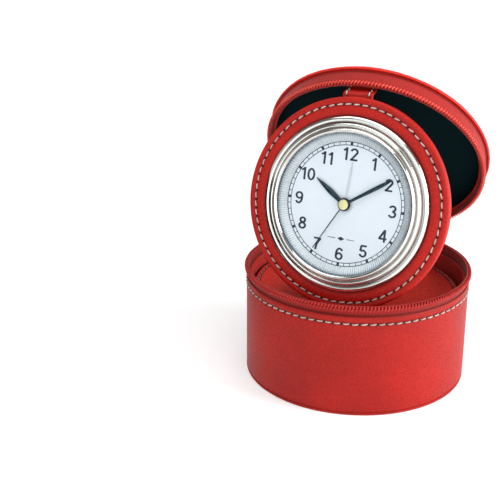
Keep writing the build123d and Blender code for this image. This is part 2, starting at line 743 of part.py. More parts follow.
def zip_pull():
    """Pull tab that hangs from the bail: an eye, a tapered tab, a small slot and a large round hole."""
    eye = Pos(0, 0, 0) * (Rot(90, 0, 0) * (Cylinder(1.35, 3.6) - Cylinder(0.65, 8)))
    neck_z, end_z = -1.1, -PULL_LENGTH
    end_r = 4.2
    outline = make_face(Plane.YZ * (
        Polyline((-end_r, end_z + end_r), (-3.2, neck_z - 3.0), (-1.8, neck_z), (1.8, neck_z), (3.2, neck_z - 3.0),
                 (end_r, end_z + end_r))
        + ThreePointArc((end_r, end_z + end_r), (0, end_z), (-end_r, end_z + end_r))
    ))
    tab = extrude(outline, 0.65, both=True)
    tab -= Pos(0, 0, end_z + end_r + 0.2) * (Rot(0, 90, 0) * Cylinder(2.5, 5))
    tab -= Pos(0, 0, neck_z - 4.6) * (Rot(0, 90, 0) * Cylinder(0.9, 5))
    tab -= block(5, 0.9, 3.0, (0, 0, neck_z - 3.4))
    tab -= Rot(90, 0, 0) * Cylinder(0.65, 8)
    return Rot(0, 0, SLIDER_AZIMUTH) * (Pos(BAIL_R, 0, MOUTH_Z) * (eye + tab))


# ---------------------------------------------------------------- write every node
BASE_NODES = (
    base_bottom_cover, base_bottom_board, base_drum, base_leather_wrap, base_zip_tape, base_zip_coil,
    zip_end_stops, base_liner, base_liner_floor, pad_board, floor_pad, hinge_panel, zip_slider, zip_pull, strap,
)
LID_NODES = (lid_zip_tape, lid_zip_coil, lid_hoop, lid_edge_binding, lid_board, lid_top_leather, lid_lining)
CLOCK_NODES = (
    plate_front_leather, plate_board, plate_back_leather, bezel, crystal, rehaut_ring, dial, movement_case,
    back_cover, case_screws, battery_door, button_cell, battery_contacts, movement_plate, wheel_bridge,
    bridge_screws, motor_stator, motor_coil, circuit_board, quartz_can, controller_chip, buzzer,
    rotor, intermediate_wheel, second_wheel, third_wheel, centre_wheel, minute_wheel, hour_wheel, alarm_wheel,
    time_set_knob, alarm_set_knob, alarm_switch, hour_hand, minute_hand, second_hand, second_hand_cap, alarm_hand,
)

for make in BASE_NODES:
    save(make.__name__, make())
for make in LID_NODES:
    save(make.__name__, opened(make()))
for make in CLOCK_NODES:
    save(make.__name__, on_plate(make()))
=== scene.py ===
import json
from math import atan2, ceil, cos, hypot, pi, radians, sin

import bmesh
import bpy
import numpy as np
from mathutils import Matrix, Vector


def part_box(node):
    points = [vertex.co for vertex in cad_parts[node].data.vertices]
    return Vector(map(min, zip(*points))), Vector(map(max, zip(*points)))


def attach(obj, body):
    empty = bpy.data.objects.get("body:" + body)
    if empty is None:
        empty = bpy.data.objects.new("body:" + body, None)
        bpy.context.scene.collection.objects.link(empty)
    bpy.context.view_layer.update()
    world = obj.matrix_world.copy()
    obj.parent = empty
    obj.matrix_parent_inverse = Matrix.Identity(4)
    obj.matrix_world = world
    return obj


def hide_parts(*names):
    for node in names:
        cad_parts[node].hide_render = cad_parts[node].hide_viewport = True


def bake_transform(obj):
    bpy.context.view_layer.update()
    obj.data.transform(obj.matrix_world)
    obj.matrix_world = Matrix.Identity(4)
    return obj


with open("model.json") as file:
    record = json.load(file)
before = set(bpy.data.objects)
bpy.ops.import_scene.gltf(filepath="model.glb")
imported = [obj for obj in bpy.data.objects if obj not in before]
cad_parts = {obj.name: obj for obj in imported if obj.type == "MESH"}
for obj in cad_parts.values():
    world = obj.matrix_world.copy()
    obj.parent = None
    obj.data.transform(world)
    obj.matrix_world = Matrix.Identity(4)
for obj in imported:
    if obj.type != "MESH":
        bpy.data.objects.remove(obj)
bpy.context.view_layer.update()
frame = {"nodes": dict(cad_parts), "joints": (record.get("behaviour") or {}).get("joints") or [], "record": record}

# Travel alarm clock in a round red leather zip case. Every shape below is drawn in millimetres, in one of
# three frames: the case as it stands, the lid as if closed, or the clock plate lying face up about Z.
MM = 0.001
TURN = 2 * pi
HERE = Matrix.Identity(4)
chance = np.random.default_rng(7)

# ---------------------------------------------------------------- frames, from the joints
joints = {joint["name"]: joint for joint in frame["joints"]}
hinge = Vector(joints["lid_hinge"]["pos_m"])
lid_angle = radians(min(joints["lid_hinge"]["range_deg"]))
lid_rest = Matrix.Translation(hinge) @ Matrix.Rotation(lid_angle, 4, "X") @ Matrix.Translation(-hinge)

dial_centre = Vector(joints["minute_hand_turn"]["pos_m"])
dial_out = -Vector(joints["minute_hand_turn"]["axis"]).normalized()
dial_right = Vector((0, 0, 1)).cross(dial_out).normalized()
dial_up = dial_out.cross(dial_right)
plate_rest = Matrix((dial_right, dial_up, dial_out)).transposed().to_4x4()
plate_rest.translation = dial_centre


def drawn(node, rest=HERE):
    """Inner radius, outer radius, low and high of a round CAD node, in mm, in the frame that it was drawn in."""
    back = rest.inverted()
    places = [back @ vertex.co / MM for vertex in frame["nodes"][node].data.vertices]
    radii = [hypot(place.x, place.y) for place in places]
    heights = [place.z for place in places]
    return min(radii), max(radii), min(heights), max(heights)


# ---------------------------------------------------------------- meshes
def outline(*corners, step=0.6):
    """Closed outline of (radius, height, round) corners: corners become arcs, and long sides are divided."""
    bends = []
    for index, corner in enumerate(corners):
        middle = Vector(corner[:2])
        before = Vector(corners[index - 1][:2]) - middle
        after = Vector(corners[(index + 1) % len(corners)][:2]) - middle
        size = corner[2] if len(corner) > 2 else 0
        if size == 0:
            bends.append(middle)
            continue
        first = middle + before.normalized() * min(size, before.length * 0.49)
        last = middle + after.normalized() * min(size, after.length * 0.49)
        for part in (0, 0.2, 0.4, 0.6, 0.8, 1):
            bends.append(first * (1 - part) ** 2 + middle * 2 * part * (1 - part) + last * part**2)
    points = []
    for index, here in enumerate(bends):
        there = bends[(index + 1) % len(bends)]
        pieces = max(1, ceil((there - here).length / step))
        points += [here.lerp(there, part / pieces) for part in range(pieces)]
    return np.array([tuple(point) for point in points])


def hump(away, width, power=2):
    """Bell curve of a distance: 1 at none, and fading over a width."""
    return np.exp(-((away / width) ** power))


def across(line):
    """Unit normals of a closed outline, pointing out of it when it runs anticlockwise."""
    slope = np.roll(line, -1, axis=0) - np.roll(line, 1, axis=0)
    slope /= np.linalg.norm(slope, axis=1)[:, None] + 1e-12
    return np.stack([slope[:, 1], -slope[:, 0]], axis=1)


def turned(line, steps, relief=None):
    """Grid of points, rows by columns, of an outline turned about Z, and the crease value of each point.

    relief(radius, height, angle) gives how far the skin moves out of the outline, and the crease.
    """
    angle = (TURN * np.arange(steps) / steps)[:, None]
    radius, height = line[:, 0][None, :], line[:, 1][None, :]
    lift, crease = relief(radius, height, angle) if relief else (0.0, 0.0)
    shift = across(line)
    radius = radius + lift * shift[:, 0][None, :] + 0 * angle
    height = height + lift * shift[:, 1][None, :] + 0 * angle
    grid = np.stack([radius * np.cos(angle), radius * np.sin(angle), height], axis=-1)
    return grid, crease + np.zeros(grid.shape[:2])


def linked(name, data):
    made = bpy.data.objects.new(name, data)
    bpy.context.scene.collection.objects.link(made)
    return made


def meshed(name, points, faces):
    """Mesh of points in mm and faces."""
    mesh = bpy.data.meshes.new(name)
    mesh.from_pydata((np.array(points) * MM).tolist(), [], faces)
    return mesh


def skin(name, grid, crease=0.0, wrap=True):
    """Object with quads over a grid. Columns close on themselves; rows close too if wrap, or else get caps."""
    rows, columns = grid.shape[:2]
    turns = rows if wrap else rows - 1
    row, column = np.meshgrid(np.arange(turns), np.arange(columns), indexing="ij")
    row_after, column_after = (row + 1) % rows, (column + 1) % columns
    corners = [(row, column), (row_after, column), (row_after, column_after), (row, column_after)]
    faces = np.stack([a * columns + b for a, b in corners], axis=-1).reshape(-1, 4).tolist()
    if not wrap:
        faces.append(list(range(columns)))
        faces.append(list(range((rows - 1) * columns, rows * columns))[::-1])
    mesh = meshed(name, grid.reshape(-1, 3), faces)
    along = np.linalg.norm(np.diff(grid, axis=0), axis=2).mean() * np.arange(turns + 1)
    ring = np.linalg.norm(np.roll(grid[0], -1, axis=0) - grid[0], axis=1)
    around = np.concatenate([[0.0], np.cumsum(ring)])
    uv = np.zeros((len(mesh.loops), 2))
    quads = turns * columns
    run = [along[row], along[row + 1], along[row + 1], along[row]]
    rise = [around[column], around[column], around[column + 1], around[column + 1]]
    uv[: quads * 4, 0] = np.stack(run, axis=-1).reshape(-1) * MM
    uv[: quads * 4, 1] = np.stack(rise, axis=-1).reshape(-1) * MM
    mesh.uv_layers.new(name="Run").data.foreach_set("uv", uv.reshape(-1))
    values = np.broadcast_to(crease, grid.shape[:2]).astype(np.float32).reshape(-1)
    mesh.attributes.new("crease", "FLOAT", "POINT").data.foreach_set("value", values)
    return cleaned(name, mesh)


def cleaned(name, mesh):
    """Object of a mesh with its doubles merged, faces turned outwards and smooth shading."""
    shape = bmesh.new()
    shape.from_mesh(mesh)
    bmesh.ops.remove_doubles(shape, verts=shape.verts, dist=1e-7)
    bmesh.ops.recalc_face_normals(shape, faces=shape.faces)
    for face in shape.faces:
        face.smooth = True
    shape.to_mesh(mesh)
    shape.free()
    return linked(name, mesh)


def tube(path, thickness, sides=8, lobes=0, twist=0.0, taper=0.0):
    """Points and faces of a tube along a path, with closed ends. Lobes give it the look of twisted yarn."""
    path = np.array(path, float)
    slope = np.gradient(path, axis=0)
    slope /= np.linalg.norm(slope, axis=1)[:, None]
    side = np.cross(slope, (0.03, 0.08, 1.0))
    side /= np.linalg.norm(side, axis=1)[:, None]
    rise = np.cross(side, slope)
    part = np.linspace(-1, 1, len(path))[:, None]
    turn = (TURN * np.arange(sides) / sides)[None, :]
    ply = 1 + 0.14 * np.cos(lobes * (turn - twist * part)) * (lobes > 0)
    size = thickness / 2 * (1 - taper * part**6) * ply
    points = path[:, None] + size[..., None] * (
        np.cos(turn)[..., None] * side[:, None] + np.sin(turn)[..., None] * rise[:, None]
    )
    faces = []
    for row in range(len(path) - 1):
        for column in range(sides):
            after = (column + 1) % sides
            low, high = row * sides, (row + 1) * sides
            faces.append((low + column, high + column, high + after, low + after))
    faces.append(tuple(range(sides)))
    faces.append(tuple(range((len(path) - 1) * sides, len(path) * sides))[::-1])
    return points.reshape(-1, 3), faces


def repeated(name, template, places):
    """One object of many copies of a template. A place is (origin, x axis, y axis, z axis), in mm."""
    points, faces = template
    origins = np.array([place[0] for place in places])
    axes = np.array([place[1:] for place in places])
    moved = origins[:, None] + np.einsum("vk,nkc->nvc", points, axes)
    every = []
    for copy in range(len(places)):
        every += [tuple(copy * len(points) + corner for corner in face) for face in faces]
    return cleaned(name, meshed(name, moved.reshape(-1, 3), every))


ONCE = [((0, 0, 0), (1, 0, 0), (0, 1, 0), (0, 0, 1))]


def place(piece, body, slot, finish, rest=HERE, replaces=()):
    """Sets a finished piece on its body, with its material and the CAD nodes that it stands for."""
    piece.matrix_world = rest
    piece.data.materials.clear()
    piece.data.materials.append(finish)
    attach(piece, body)
    if replaces:
        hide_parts(*replaces)
    return piece


def lathed(name, line, steps, relief, *setting, **more):
    """Round piece: an outline turned about Z and set in place."""
    return place(skin(name, *turned(line, steps, relief)), *setting, **more)


# ---------------------------------------------------------------- materials
def feed(tree, socket, value):
    """Links a socket to another socket, or gives it a constant."""
    if isinstance(value, bpy.types.NodeSocket):
        tree.links.new(value, socket)
    else:
        socket.default_value = value


def node(tree, kind, inputs=None, **settings):
    made = tree.nodes.new("ShaderNode" + kind)
    for key, value in settings.items():
        setattr(made, key, value)
    for key, value in (inputs or {}).items():
        feed(tree, made.inputs[key], value)
    return made


def material(name, **constants):
    """New material with one Principled shader. Names with _ for a space set its constant values."""
    made = bpy.data.materials.new(name)
    made.use_nodes = True
    tree = made.node_tree
    tree.nodes.clear()
    shader = node(tree, "BsdfPrincipled")
    for key, value in constants.items():
        shader.inputs[key.replace("_", " ")].default_value = value
    output = node(tree, "OutputMaterial")
    tree.links.new(shader.outputs[0], output.inputs[0])
    return made, tree, shader


def mixed(tree, amount, low, high):
    """Colour between two, by an amount."""
    blend = node(tree, "Mix", {0: amount}, data_type="RGBA")
    for socket, colour in ((blend.inputs[6], low), (blend.inputs[7], high)):
        feed(tree, socket, (*colour, 1) if isinstance(colour, tuple) else colour)
    return blend.outputs[2]


def scaled(tree, value, low, high, to_low=0.0, to_high=1.0):
    limits = {"Value": value, "From Min": low, "From Max": high, "To Min": to_low, "To Max": to_high}
    return node(tree, "MapRange", limits).outputs[0]


def sums(tree, first, second, operation="ADD"):
    made = node(tree, "Math", operation=operation)
    for socket, value in zip(made.inputs, (first, second)):
        feed(tree, socket, value)
    return made.outputs[0]


def noise(tree, vector, scale, detail=3.0, rough=0.55):
    inputs = {"Vector": vector, "Scale": scale, "Detail": detail, "Roughness": rough}
    return node(tree, "TexNoise", inputs).outputs[0]


def here(tree):
    """Place on the piece, in its own frame."""
    return node(tree, "TexCoord").outputs["Object"]


# Amount of painted shade at each point: the crease attribute darkens the colour of the materials that read it.
def creased(tree):
    return node(tree, "Attribute", attribute_name="crease").outputs["Fac"]


def painted(tree, shader, colour, roughness):
    feed(tree, shader.inputs["Base Color"], colour)
    feed(tree, shader.inputs["Roughness"], roughness)


def bumped(tree, shader, height, distance, strength=1.0, socket="Normal"):
    bump = node(tree, "Bump", {"Height": height, "Distance": distance, "Strength": strength})
    tree.links.new(bump.outputs[0], shader.inputs[socket])


# Colour of the painted shade in a needle hole.
NEEDLE_HOLE_SHADE = (0.032, 0.004, 0.004)


def leather(name, dark, bright, painted_valley_shade, grain=1050.0, depth=0.00007, gloss=0.40):
    """Coated leather: fine pebbles with pores between them, soft wrinkles, and painted shade: darker in the
    pebbles' valleys, in creases and in needle holes.
    """
    made, tree, shader = material(name, Specular_IOR_Level=0.19, Coat_Weight=0.02, Coat_Roughness=0.28)
    spot = here(tree)
    bend = node(tree, "TexNoise", {"Vector": spot, "Scale": 420.0, "Detail": 2.0})
    drift = node(tree, "VectorMath", {0: bend.outputs["Color"], "Scale": 0.0011}, operation="SCALE").outputs[0]
    warped = node(tree, "VectorMath", {0: spot, 1: drift}, operation="ADD").outputs[0]
    cells = node(tree, "TexVoronoi", {"Vector": warped, "Scale": grain}, feature="DISTANCE_TO_EDGE").outputs[0]
    pebble = scaled(tree, cells, 0.0, 0.22)
    pores = noise(tree, spot, 5200.0, 2.0)
    wrinkle = noise(tree, spot, 130.0, 3.0)
    height = sums(tree, pebble, sums(tree, pores, 0.35, "MULTIPLY"))
    height = sums(tree, height, sums(tree, wrinkle, 2.2, "MULTIPLY"))
    bumped(tree, shader, height, depth, 0.75)
    patch = scaled(tree, noise(tree, spot, 38.0, 4.0), 0.32, 0.68)
    body = mixed(tree, patch, dark, bright)
    # Painted shade: the valleys between the pebbles are darkened.
    body = mixed(tree, scaled(tree, pebble, 0.0, 1.0, 0.35, 0.0), body, painted_valley_shade)
    crease = creased(tree)
    # Painted shade in creases by the crease attribute, near black at the needle holes.
    body = mixed(tree, scaled(tree, crease, 0.0, 0.6, 0.0, 0.85), body, painted_valley_shade)
    body = mixed(tree, scaled(tree, crease, 0.55, 1.0, 0.0, 0.9), body, NEEDLE_HOLE_SHADE)
    matt = scaled(tree, pebble, 0.0, 1.0, gloss + 0.14, gloss)
    painted(tree, shader, body, sums(tree, matt, sums(tree, patch, 0.06, "MULTIPLY")))
    return made


def woven(name, low, high, pitch=0.00055, depth=0.00005, rough=0.75, sheen=0.15, shine=0.2):
    """Ribbed tape: warp ribs across, and yarns along, from the piece's own run, with shade painted where the
    crease attribute is set.
    """
    made, tree, shader = material(name, Sheen_Weight=sheen, Sheen_Roughness=0.5, Specular_IOR_Level=shine)
    run = node(tree, "UVMap", uv_map="Run").outputs[0]
    parts = node(tree, "SeparateXYZ", {0: run})
    spot = here(tree)
    stray = sums(tree, noise(tree, spot, 900.0), 0.6, "MULTIPLY")
    yarn = sums(tree, sums(tree, parts.outputs[0], TURN / pitch, "MULTIPLY"), stray)
    rib = sums(tree, parts.outputs[1], TURN / pitch, "MULTIPLY")
    weave = sums(tree, sums(tree, yarn, 0.0, "SINE"), sums(tree, rib, 0.0, "SINE"), "MULTIPLY")
    height = scaled(tree, weave, -1.0, 1.0)
    fibre = sums(tree, noise(tree, spot, 3000.0), 0.4, "MULTIPLY")
    bumped(tree, shader, sums(tree, height, fibre), depth)
    body = mixed(tree, height, low, high)
    crease = creased(tree)
    # Painted shade: the tape darkens towards this colour where the crease attribute is set.
    shade = tuple(0.3 * part for part in low)
    painted(tree, shader, mixed(tree, scaled(tree, crease, 0.0, 1.0, 0.0, 0.85), body, shade), rough)
    return made


def fuzzy(name, low, high, rough, bump=0.00003, scale=2600.0, sheen=0.0):
    """Plain cloth, card, yarn or moulded plastic: two tones with a fine grain."""
    made, tree, shader = material(name, Sheen_Weight=sheen, Sheen_Roughness=0.45, Specular_IOR_Level=0.4)
    spot = here(tree)
    grain = noise(tree, spot, scale, 4.0, 0.65)
    cloud = noise(tree, spot, 160.0, 3.0)
    tone = scaled(tree, sums(tree, grain, cloud), 0.7, 1.3)
    matt = scaled(tree, cloud, 0.3, 0.7, rough - 0.05, rough + 0.07)
    painted(tree, shader, mixed(tree, tone, low, high), matt)
    bumped(tree, shader, grain, bump)
    return made


def metal(name, low, high, rough, rings=0.0, scratch=0.000004, metallic=1.0, shade=None):
    """Metal with fine marks: turned rings about Z where rings is their pitch in metres, or else random polish.

    shade is the colour of the shade painted into its creases.
    """
    made, tree, shader = material(name, Metallic=metallic)
    spot = here(tree)
    smear = noise(tree, spot, 240.0, 4.0)
    if rings:
        flat = node(tree, "VectorMath", {0: spot, 1: (1, 1, 0)}, operation="MULTIPLY").outputs[0]
        reach = node(tree, "VectorMath", {0: flat}, operation="LENGTH").outputs["Value"]
        line = node(tree, "CombineXYZ", {0: reach}).outputs[0]
        marks = noise(tree, line, 1 / rings, 3.0, 0.7)
    else:
        marks = noise(tree, spot, 3200.0, 3.0, 0.6)
    bumped(tree, shader, marks, scratch)
    body = mixed(tree, scaled(tree, smear, 0.3, 0.7), low, high)
    if shade:
        # Painted shade in the creases, by the crease attribute.
        body = mixed(tree, creased(tree), body, shade)
    worn = scaled(tree, smear, 0.3, 0.7, rough * 0.7, rough * 1.3)
    painted(tree, shader, body, sums(tree, worn, sums(tree, marks, 0.03, "MULTIPLY")))
    return made


def clear(name):
    """Flat mineral glass: see-through, with reflections that grow towards the edge of view."""
    made = bpy.data.materials.new(name)
    made.use_nodes = True
    tree = made.node_tree
    tree.nodes.clear()
    gloss = node(tree, "BsdfGlossy", {"Roughness": 0.02, "Color": (1, 1, 1, 1)})
    through = node(tree, "BsdfTransparent", {"Color": (0.985, 0.995, 1.0, 1)})
    rim = node(tree, "Fresnel", {"IOR": 1.2}).outputs[0]
    front = sums(tree, 1.0, node(tree, "NewGeometry").outputs["Backfacing"], "SUBTRACT")
    share = sums(tree, rim, front, "MULTIPLY")
    blend = node(tree, "MixShader", {0: share, 1: through.outputs[0], 2: gloss.outputs[0]})
    output = node(tree, "OutputMaterial")
    tree.links.new(blend.outputs[0], output.inputs[0])
    return made


red_leather = leather("red_leather", (0.31, 0.0066, 0.0032), (0.415, 0.0096, 0.0046), (0.09, 0.003, 0.002))
# Lighter copy of the red leather for the clock plate: painted light.
plate_red_painted_light = leather("plate_red_painted_light", (0.37, 0.0080, 0.0042), (0.48, 0.0115, 0.0060), (0.10, 0.003, 0.002))
# Much lighter copy of the red leather for the lid's rolled edge: painted light.
edge_leather_painted_light = leather(
    "edge_leather_painted_light", (0.68, 0.0190, 0.0110), (0.86, 0.0300, 0.0170), (0.09, 0.003, 0.002), 1300.0, 0.00005, 0.34
)
# Much lighter, pinker copy of the red leather for the padded cover, which sits in shade: painted light.
pad_leather_painted_light = leather(
    "pad_leather_painted_light", (0.70, 0.0400, 0.0270), (0.84, 0.0540, 0.0360), (0.10, 0.003, 0.002), 950.0, 0.00007, 0.44
)
# Lighter, pinker copy of the red leather for the rim facings: painted light.
facing_leather_painted_light = leather(
    "facing_leather_painted_light", (0.42, 0.0330, 0.0260), (0.54, 0.0430, 0.0340), (0.07, 0.002, 0.002), 1100.0, 0.00005, 0.5
)
thread = fuzzy("thread", (0.28, 0.23, 0.20), (0.58, 0.52, 0.47), 0.7, 0.00002, 5200.0, 0.1)
pad_thread = fuzzy("pad_thread", (0.16, 0.08, 0.07), (0.30, 0.18, 0.16), 0.7, 0.00002, 5200.0, 0.1)
red_tape = woven("red_tape", (0.20, 0.005, 0.003), (0.38, 0.010, 0.006))
coil_nylon = fuzzy("coil_nylon", (0.34, 0.009, 0.006), (0.44, 0.014, 0.010), 0.60, 0.00001, 1800.0)
# Lighter, glossier copy of the coil nylon for the lid's coil: painted light.
nylon_painted_light = fuzzy("nylon_painted_light", (0.60, 0.040, 0.026), (0.76, 0.070, 0.045), 0.32, 0.00001, 1800.0)
dark_lining = woven("dark_lining", (0.001, 0.009, 0.011), (0.003, 0.018, 0.021), 0.0004, 0.00003, 0.9, 0.0, 0.06)
card = fuzzy("card", (0.42, 0.33, 0.24), (0.60, 0.50, 0.38), 0.8, 0.00004)
liner_cloth = fuzzy("liner_cloth", (0.012, 0.016, 0.018), (0.030, 0.036, 0.040), 0.85, 0.00005, 3200.0, 0.3)
# The chrome's crease colour is reddish: painted reflection of the red leather, and painted shade, in the bezel's
# grooves and on its inner lip.
chrome = metal(
    "chrome", (0.66, 0.68, 0.65), (0.76, 0.78, 0.75), 0.09, 0.00016, 0.0000003, 1.0, (0.30, 0.13, 0.12)
)
nickel = metal("nickel", (0.60, 0.58, 0.54), (0.74, 0.72, 0.68), 0.24)
# The silver's crease colour is a dark blue-grey painted shade, used on the rehaut under the glass and between its
# ribs.
silver = metal(
    "silver", (0.56, 0.60, 0.62), (0.66, 0.70, 0.72), 0.34, 0.0, 0.000003, 0.35, (0.10, 0.16, 0.20)
)
brass = metal("brass", (0.62, 0.48, 0.16), (0.78, 0.66, 0.30), 0.26, 0.00010)
pale_brass = metal("pale_brass", (0.74, 0.68, 0.32), (0.88, 0.84, 0.50), 0.34, 0.00010)
steel = metal("steel", (0.46, 0.46, 0.47), (0.60, 0.60, 0.61), 0.30)
copper = metal("copper", (0.60, 0.24, 0.11), (0.74, 0.34, 0.18), 0.35, 0.0, 0.00001)
glass = clear("glass")
enamel = fuzzy("enamel", (0.66, 0.71, 0.76), (0.69, 0.74, 0.79), 0.42, 0.000006, 3800.0)
ink = fuzzy("ink", (0.007, 0.012, 0.030), (0.014, 0.024, 0.048), 0.4, 0.000004)
navy_lacquer = fuzzy("navy_lacquer", (0.002, 0.014, 0.026), (0.006, 0.030, 0.046), 0.24, 0.000003, 1400.0)
grey_lacquer = fuzzy("grey_lacquer", (0.50, 0.52, 0.56), (0.60, 0.62, 0.66), 0.4, 0.000003, 1400.0)
black_plastic = fuzzy("black_plastic", (0.010, 0.010, 0.011), (0.020, 0.020, 0.022), 0.45, 0.00002, 2400.0)
grey_plastic = fuzzy("grey_plastic", (0.50, 0.50, 0.48), (0.64, 0.64, 0.62), 0.5, 0.00001, 2400.0)
wheel_plastic = fuzzy("wheel_plastic", (0.66, 0.62, 0.50), (0.80, 0.76, 0.64), 0.4, 0.000006, 2000.0)
green_board = fuzzy("green_board", (0.010, 0.10, 0.035), (0.020, 0.16, 0.055), 0.35, 0.000006, 2000.0)

finishes = {
    "red_leather": red_leather, "case_board": card, "zip_tape": red_tape, "zip_coil": coil_nylon,
    "dark_lining": dark_lining, "liner_card": liner_cloth, "bright_metal": chrome, "nickel": nickel,
    "clear": glass, "silver_plastic": silver, "dial_paint": enamel, "black_plastic": black_plastic,
    "movement_plastic": grey_plastic,
    "wheel_plastic": wheel_plastic, "brass": brass, "steel": steel, "copper": copper, "board_green": green_board,
    "navy_paint": navy_lacquer, "silver_paint": grey_lacquer,
}

# ---------------------------------------------------------------- sewing
SEAM_PITCH = 3.45        # from needle hole to needle hole
THREAD = 0.52
STITCH = 2.25
ZIP_PITCH = 1.35


def seam_relief(away, run, pitch=SEAM_PITCH, depth=0.30, width=0.75):
    """Leather pulled down beside a seam: a soft groove, deeper at each needle hole, and the crease value that
    paints shade in the groove and the holes.
    """
    groove = hump(away, width)
    hole = hump(away, 0.60 * width) * (0.5 + 0.5 * np.cos(TURN * run / pitch)) ** 3
    # The second value is painted shade, strongest at the needle holes.
    return -depth * (0.35 * groove + 1.1 * hole), np.clip(1.3 * hole + 0.18 * groove, 0, 1)


def stitch_template(length=STITCH, thickness=THREAD, rise=0.20):
    """One stitch along x with +z out of the leather: two-ply yarn whose ends dive into the needle holes."""
    part = np.linspace(-1, 1, 11)
    path = [(length / 2 * p, 0.05 * sin(pi * p), rise * (1 - p**2) - 0.30 * p**8) for p in part]
    return tube(path, thickness, 8, 2, 2.6, 0.35)


def ring_stitches(name, radius, height, count, out, tilt=0.05, **sizes):
    """Stitches round Z; out(angle) is the way out of the leather. Each one lies a little askew."""
    places = []
    for index in range(count):
        angle = TURN * (index + 0.5) / count
        away = Vector(out(angle)).normalized()
        along = Vector((-sin(angle), cos(angle), 0))
        side = away.cross(along)
        lean = tilt + chance.normal(0, 0.035)
        along = (along * cos(lean) + side * sin(lean)).normalized()
        spot = Vector((radius * cos(angle), radius * sin(angle), height)) + side * chance.normal(0, 0.04)
        places.append((spot, along, away.cross(along), away))
    return repeated(name, stitch_template(**sizes), places)


def upward(angle):
    return 0, 0, 1


def outward(angle):
    return cos(angle), sin(angle), 0


def sewn_ring(name, radius, height, count, out, body, yarn, rest=HERE):
    """Ring of stitches, set in place on leather."""
    place(ring_stitches(name, radius, height, count, out), body, "red_leather", yarn, rest)


def teeth(name, radius, edge, up, half_arc, reach, thick):
    """One half of the zip coil: a slanted loop per tooth, whose head points up (1) or down (-1) to the mouth."""
    path = [
        (-0.42, 0.20, -1.0), (-0.30, 0.42, -0.75), (-0.12, 0.46, -0.45), (0.05, 0.30, -0.17), (0.12, 0.0, -0.10),
        (0.18, -0.24, -0.18), (0.26, -0.30, -0.45), (0.34, -0.28, -0.75), (0.42, -0.20, -1.0),
    ]
    path = [(along, out, height * reach) for along, out, height in path]
    smooth = [tuple(np.array(a) * 0.5 + np.array(b) * 0.5) for a, b in zip(path, path[1:])]
    template = tube([path[0]] + smooth + [path[-1]], thick, 7)
    count = int(2 * half_arc * radius / ZIP_PITCH)
    places = []
    for index in range(count):
        shift = 0.5 if up < 0 else 0.0
        angle = -pi / 2 - half_arc + 2 * half_arc * (index + 0.5 + 0.5 * shift) / (count + 0.5)
        out = Vector((cos(angle), sin(angle), 0))
        along = Vector((-sin(angle), cos(angle), 0))
        places.append((out * radius + Vector((0, 0, edge)), along * up, out, Vector((0, 0, up))))
    return repeated(name, template, places)


def coil_cord(name, radius, height, half_arc, thickness=0.42):
    """Sewing cord that holds the coil's loops on the tape: twisted, and run round the same arc."""
    angles = np.linspace(-pi / 2 - half_arc, -pi / 2 + half_arc, int(half_arc * radius / 0.3))
    path = [(radius * cos(angle), radius * sin(angle), height + 0.03 * sin(angle * 210)) for angle in angles]
    return repeated(name, tube(path, thickness, 8), ONCE)


def sway(angle, *waves):
    """Slow unevenness round a hand-made ring: a sum of (count, phase, size) waves."""
    return sum(size * np.sin(count * angle + phase) for count, phase, size in waves)


# ---------------------------------------------------------------- base
_, case_r, base_seam_low, leather_top = drawn("base_leather_wrap")
tape_in, tape_out, tape_low, tape_top = drawn("base_zip_tape")
coil_in, coil_out, _, coil_high = drawn("base_zip_coil")
mouth = joints["lid_hinge"]["pos_m"][2] / MM
BASE_STITCH_Z = leather_top - 3.1
BASE_STITCHES = round(TURN * case_r / SEAM_PITCH)


def base_leather():
    """Outer leather of the base, sewn near its top edge, with the lower edge turned under."""
    inner = case_r - 1.0
    line = outline(
        (inner, base_seam_low), (case_r, base_seam_low, 0.45), (case_r, leather_top, 0.55),
        (tape_out, leather_top, 0.1), (tape_out, tape_low), (inner, tape_low), step=0.55,
    )

    def relief(radius, height, angle):
        outside = radius > case_r - 0.3
        lift, crease = seam_relief(height - BASE_STITCH_Z, angle * case_r, TURN * case_r / BASE_STITCHES)
        pull = 0.12 * hump(height - base_seam_low, 2.2)
        # Painted shade along the top edge, where the leather meets the tape.
        edge = hump(height - leather_top, 0.5)
        wave = sway(angle, (5, 0.4, 0.05), (11, 1.9, 0.03)) * np.sin(pi * height / leather_top)
        swell = 0.10 * hump(height - BASE_STITCH_Z - 1.7, 1.0)
        return (lift + wave + swell - pull) * outside, (crease + 0.35 * edge) * outside

    lathed(
        "base_leather", line, BASE_STITCHES * 10, relief, "base", "red_leather", red_leather,
        replaces=["base_leather_wrap"],
    )
    sewn_ring("base_stitches", case_r - 0.02, BASE_STITCH_Z, BASE_STITCHES, outward, "base", thread)


def base_underside():
    """Bottom leather: a shallow dish whose edge shows as a bright line under the side."""
    _, reach, low, high = drawn("base_bottom_cover")
    line = outline((0.02, low + 0.15), (reach - 5, low, 3), (reach, low, 0.6), (reach, high, 0.3), (0.02, high))

    def relief(radius, height, angle):
        under = height < (low + high) / 2
        lift, crease = seam_relief(radius - reach + 3.2, angle * reach, TURN * reach / BASE_STITCHES, 0.12)
        return lift * under * 0.6, crease * under

    lathed(
        "bottom_leather", line, 360, relief, "base", "red_leather", red_leather, replaces=["base_bottom_cover"]
    )


def zip_tape(name, node_name, body, rest, low, high, hem):
    """Ribbed tape ring; the hem is the height where the leather covers it, where shade is painted."""
    line = outline((tape_in, low), (tape_out, low), (tape_out, high, 0.15), (tape_in, high, 0.15), step=0.4)

    def relief(radius, height, angle):
        # Painted shade along the hem.
        return 0.02 * np.sin(angle * 90) * (radius > 0), 0.9 * hump(height - hem, 0.55)

    lathed(name, line, 540, relief, body, "zip_tape", red_tape, rest, [node_name])


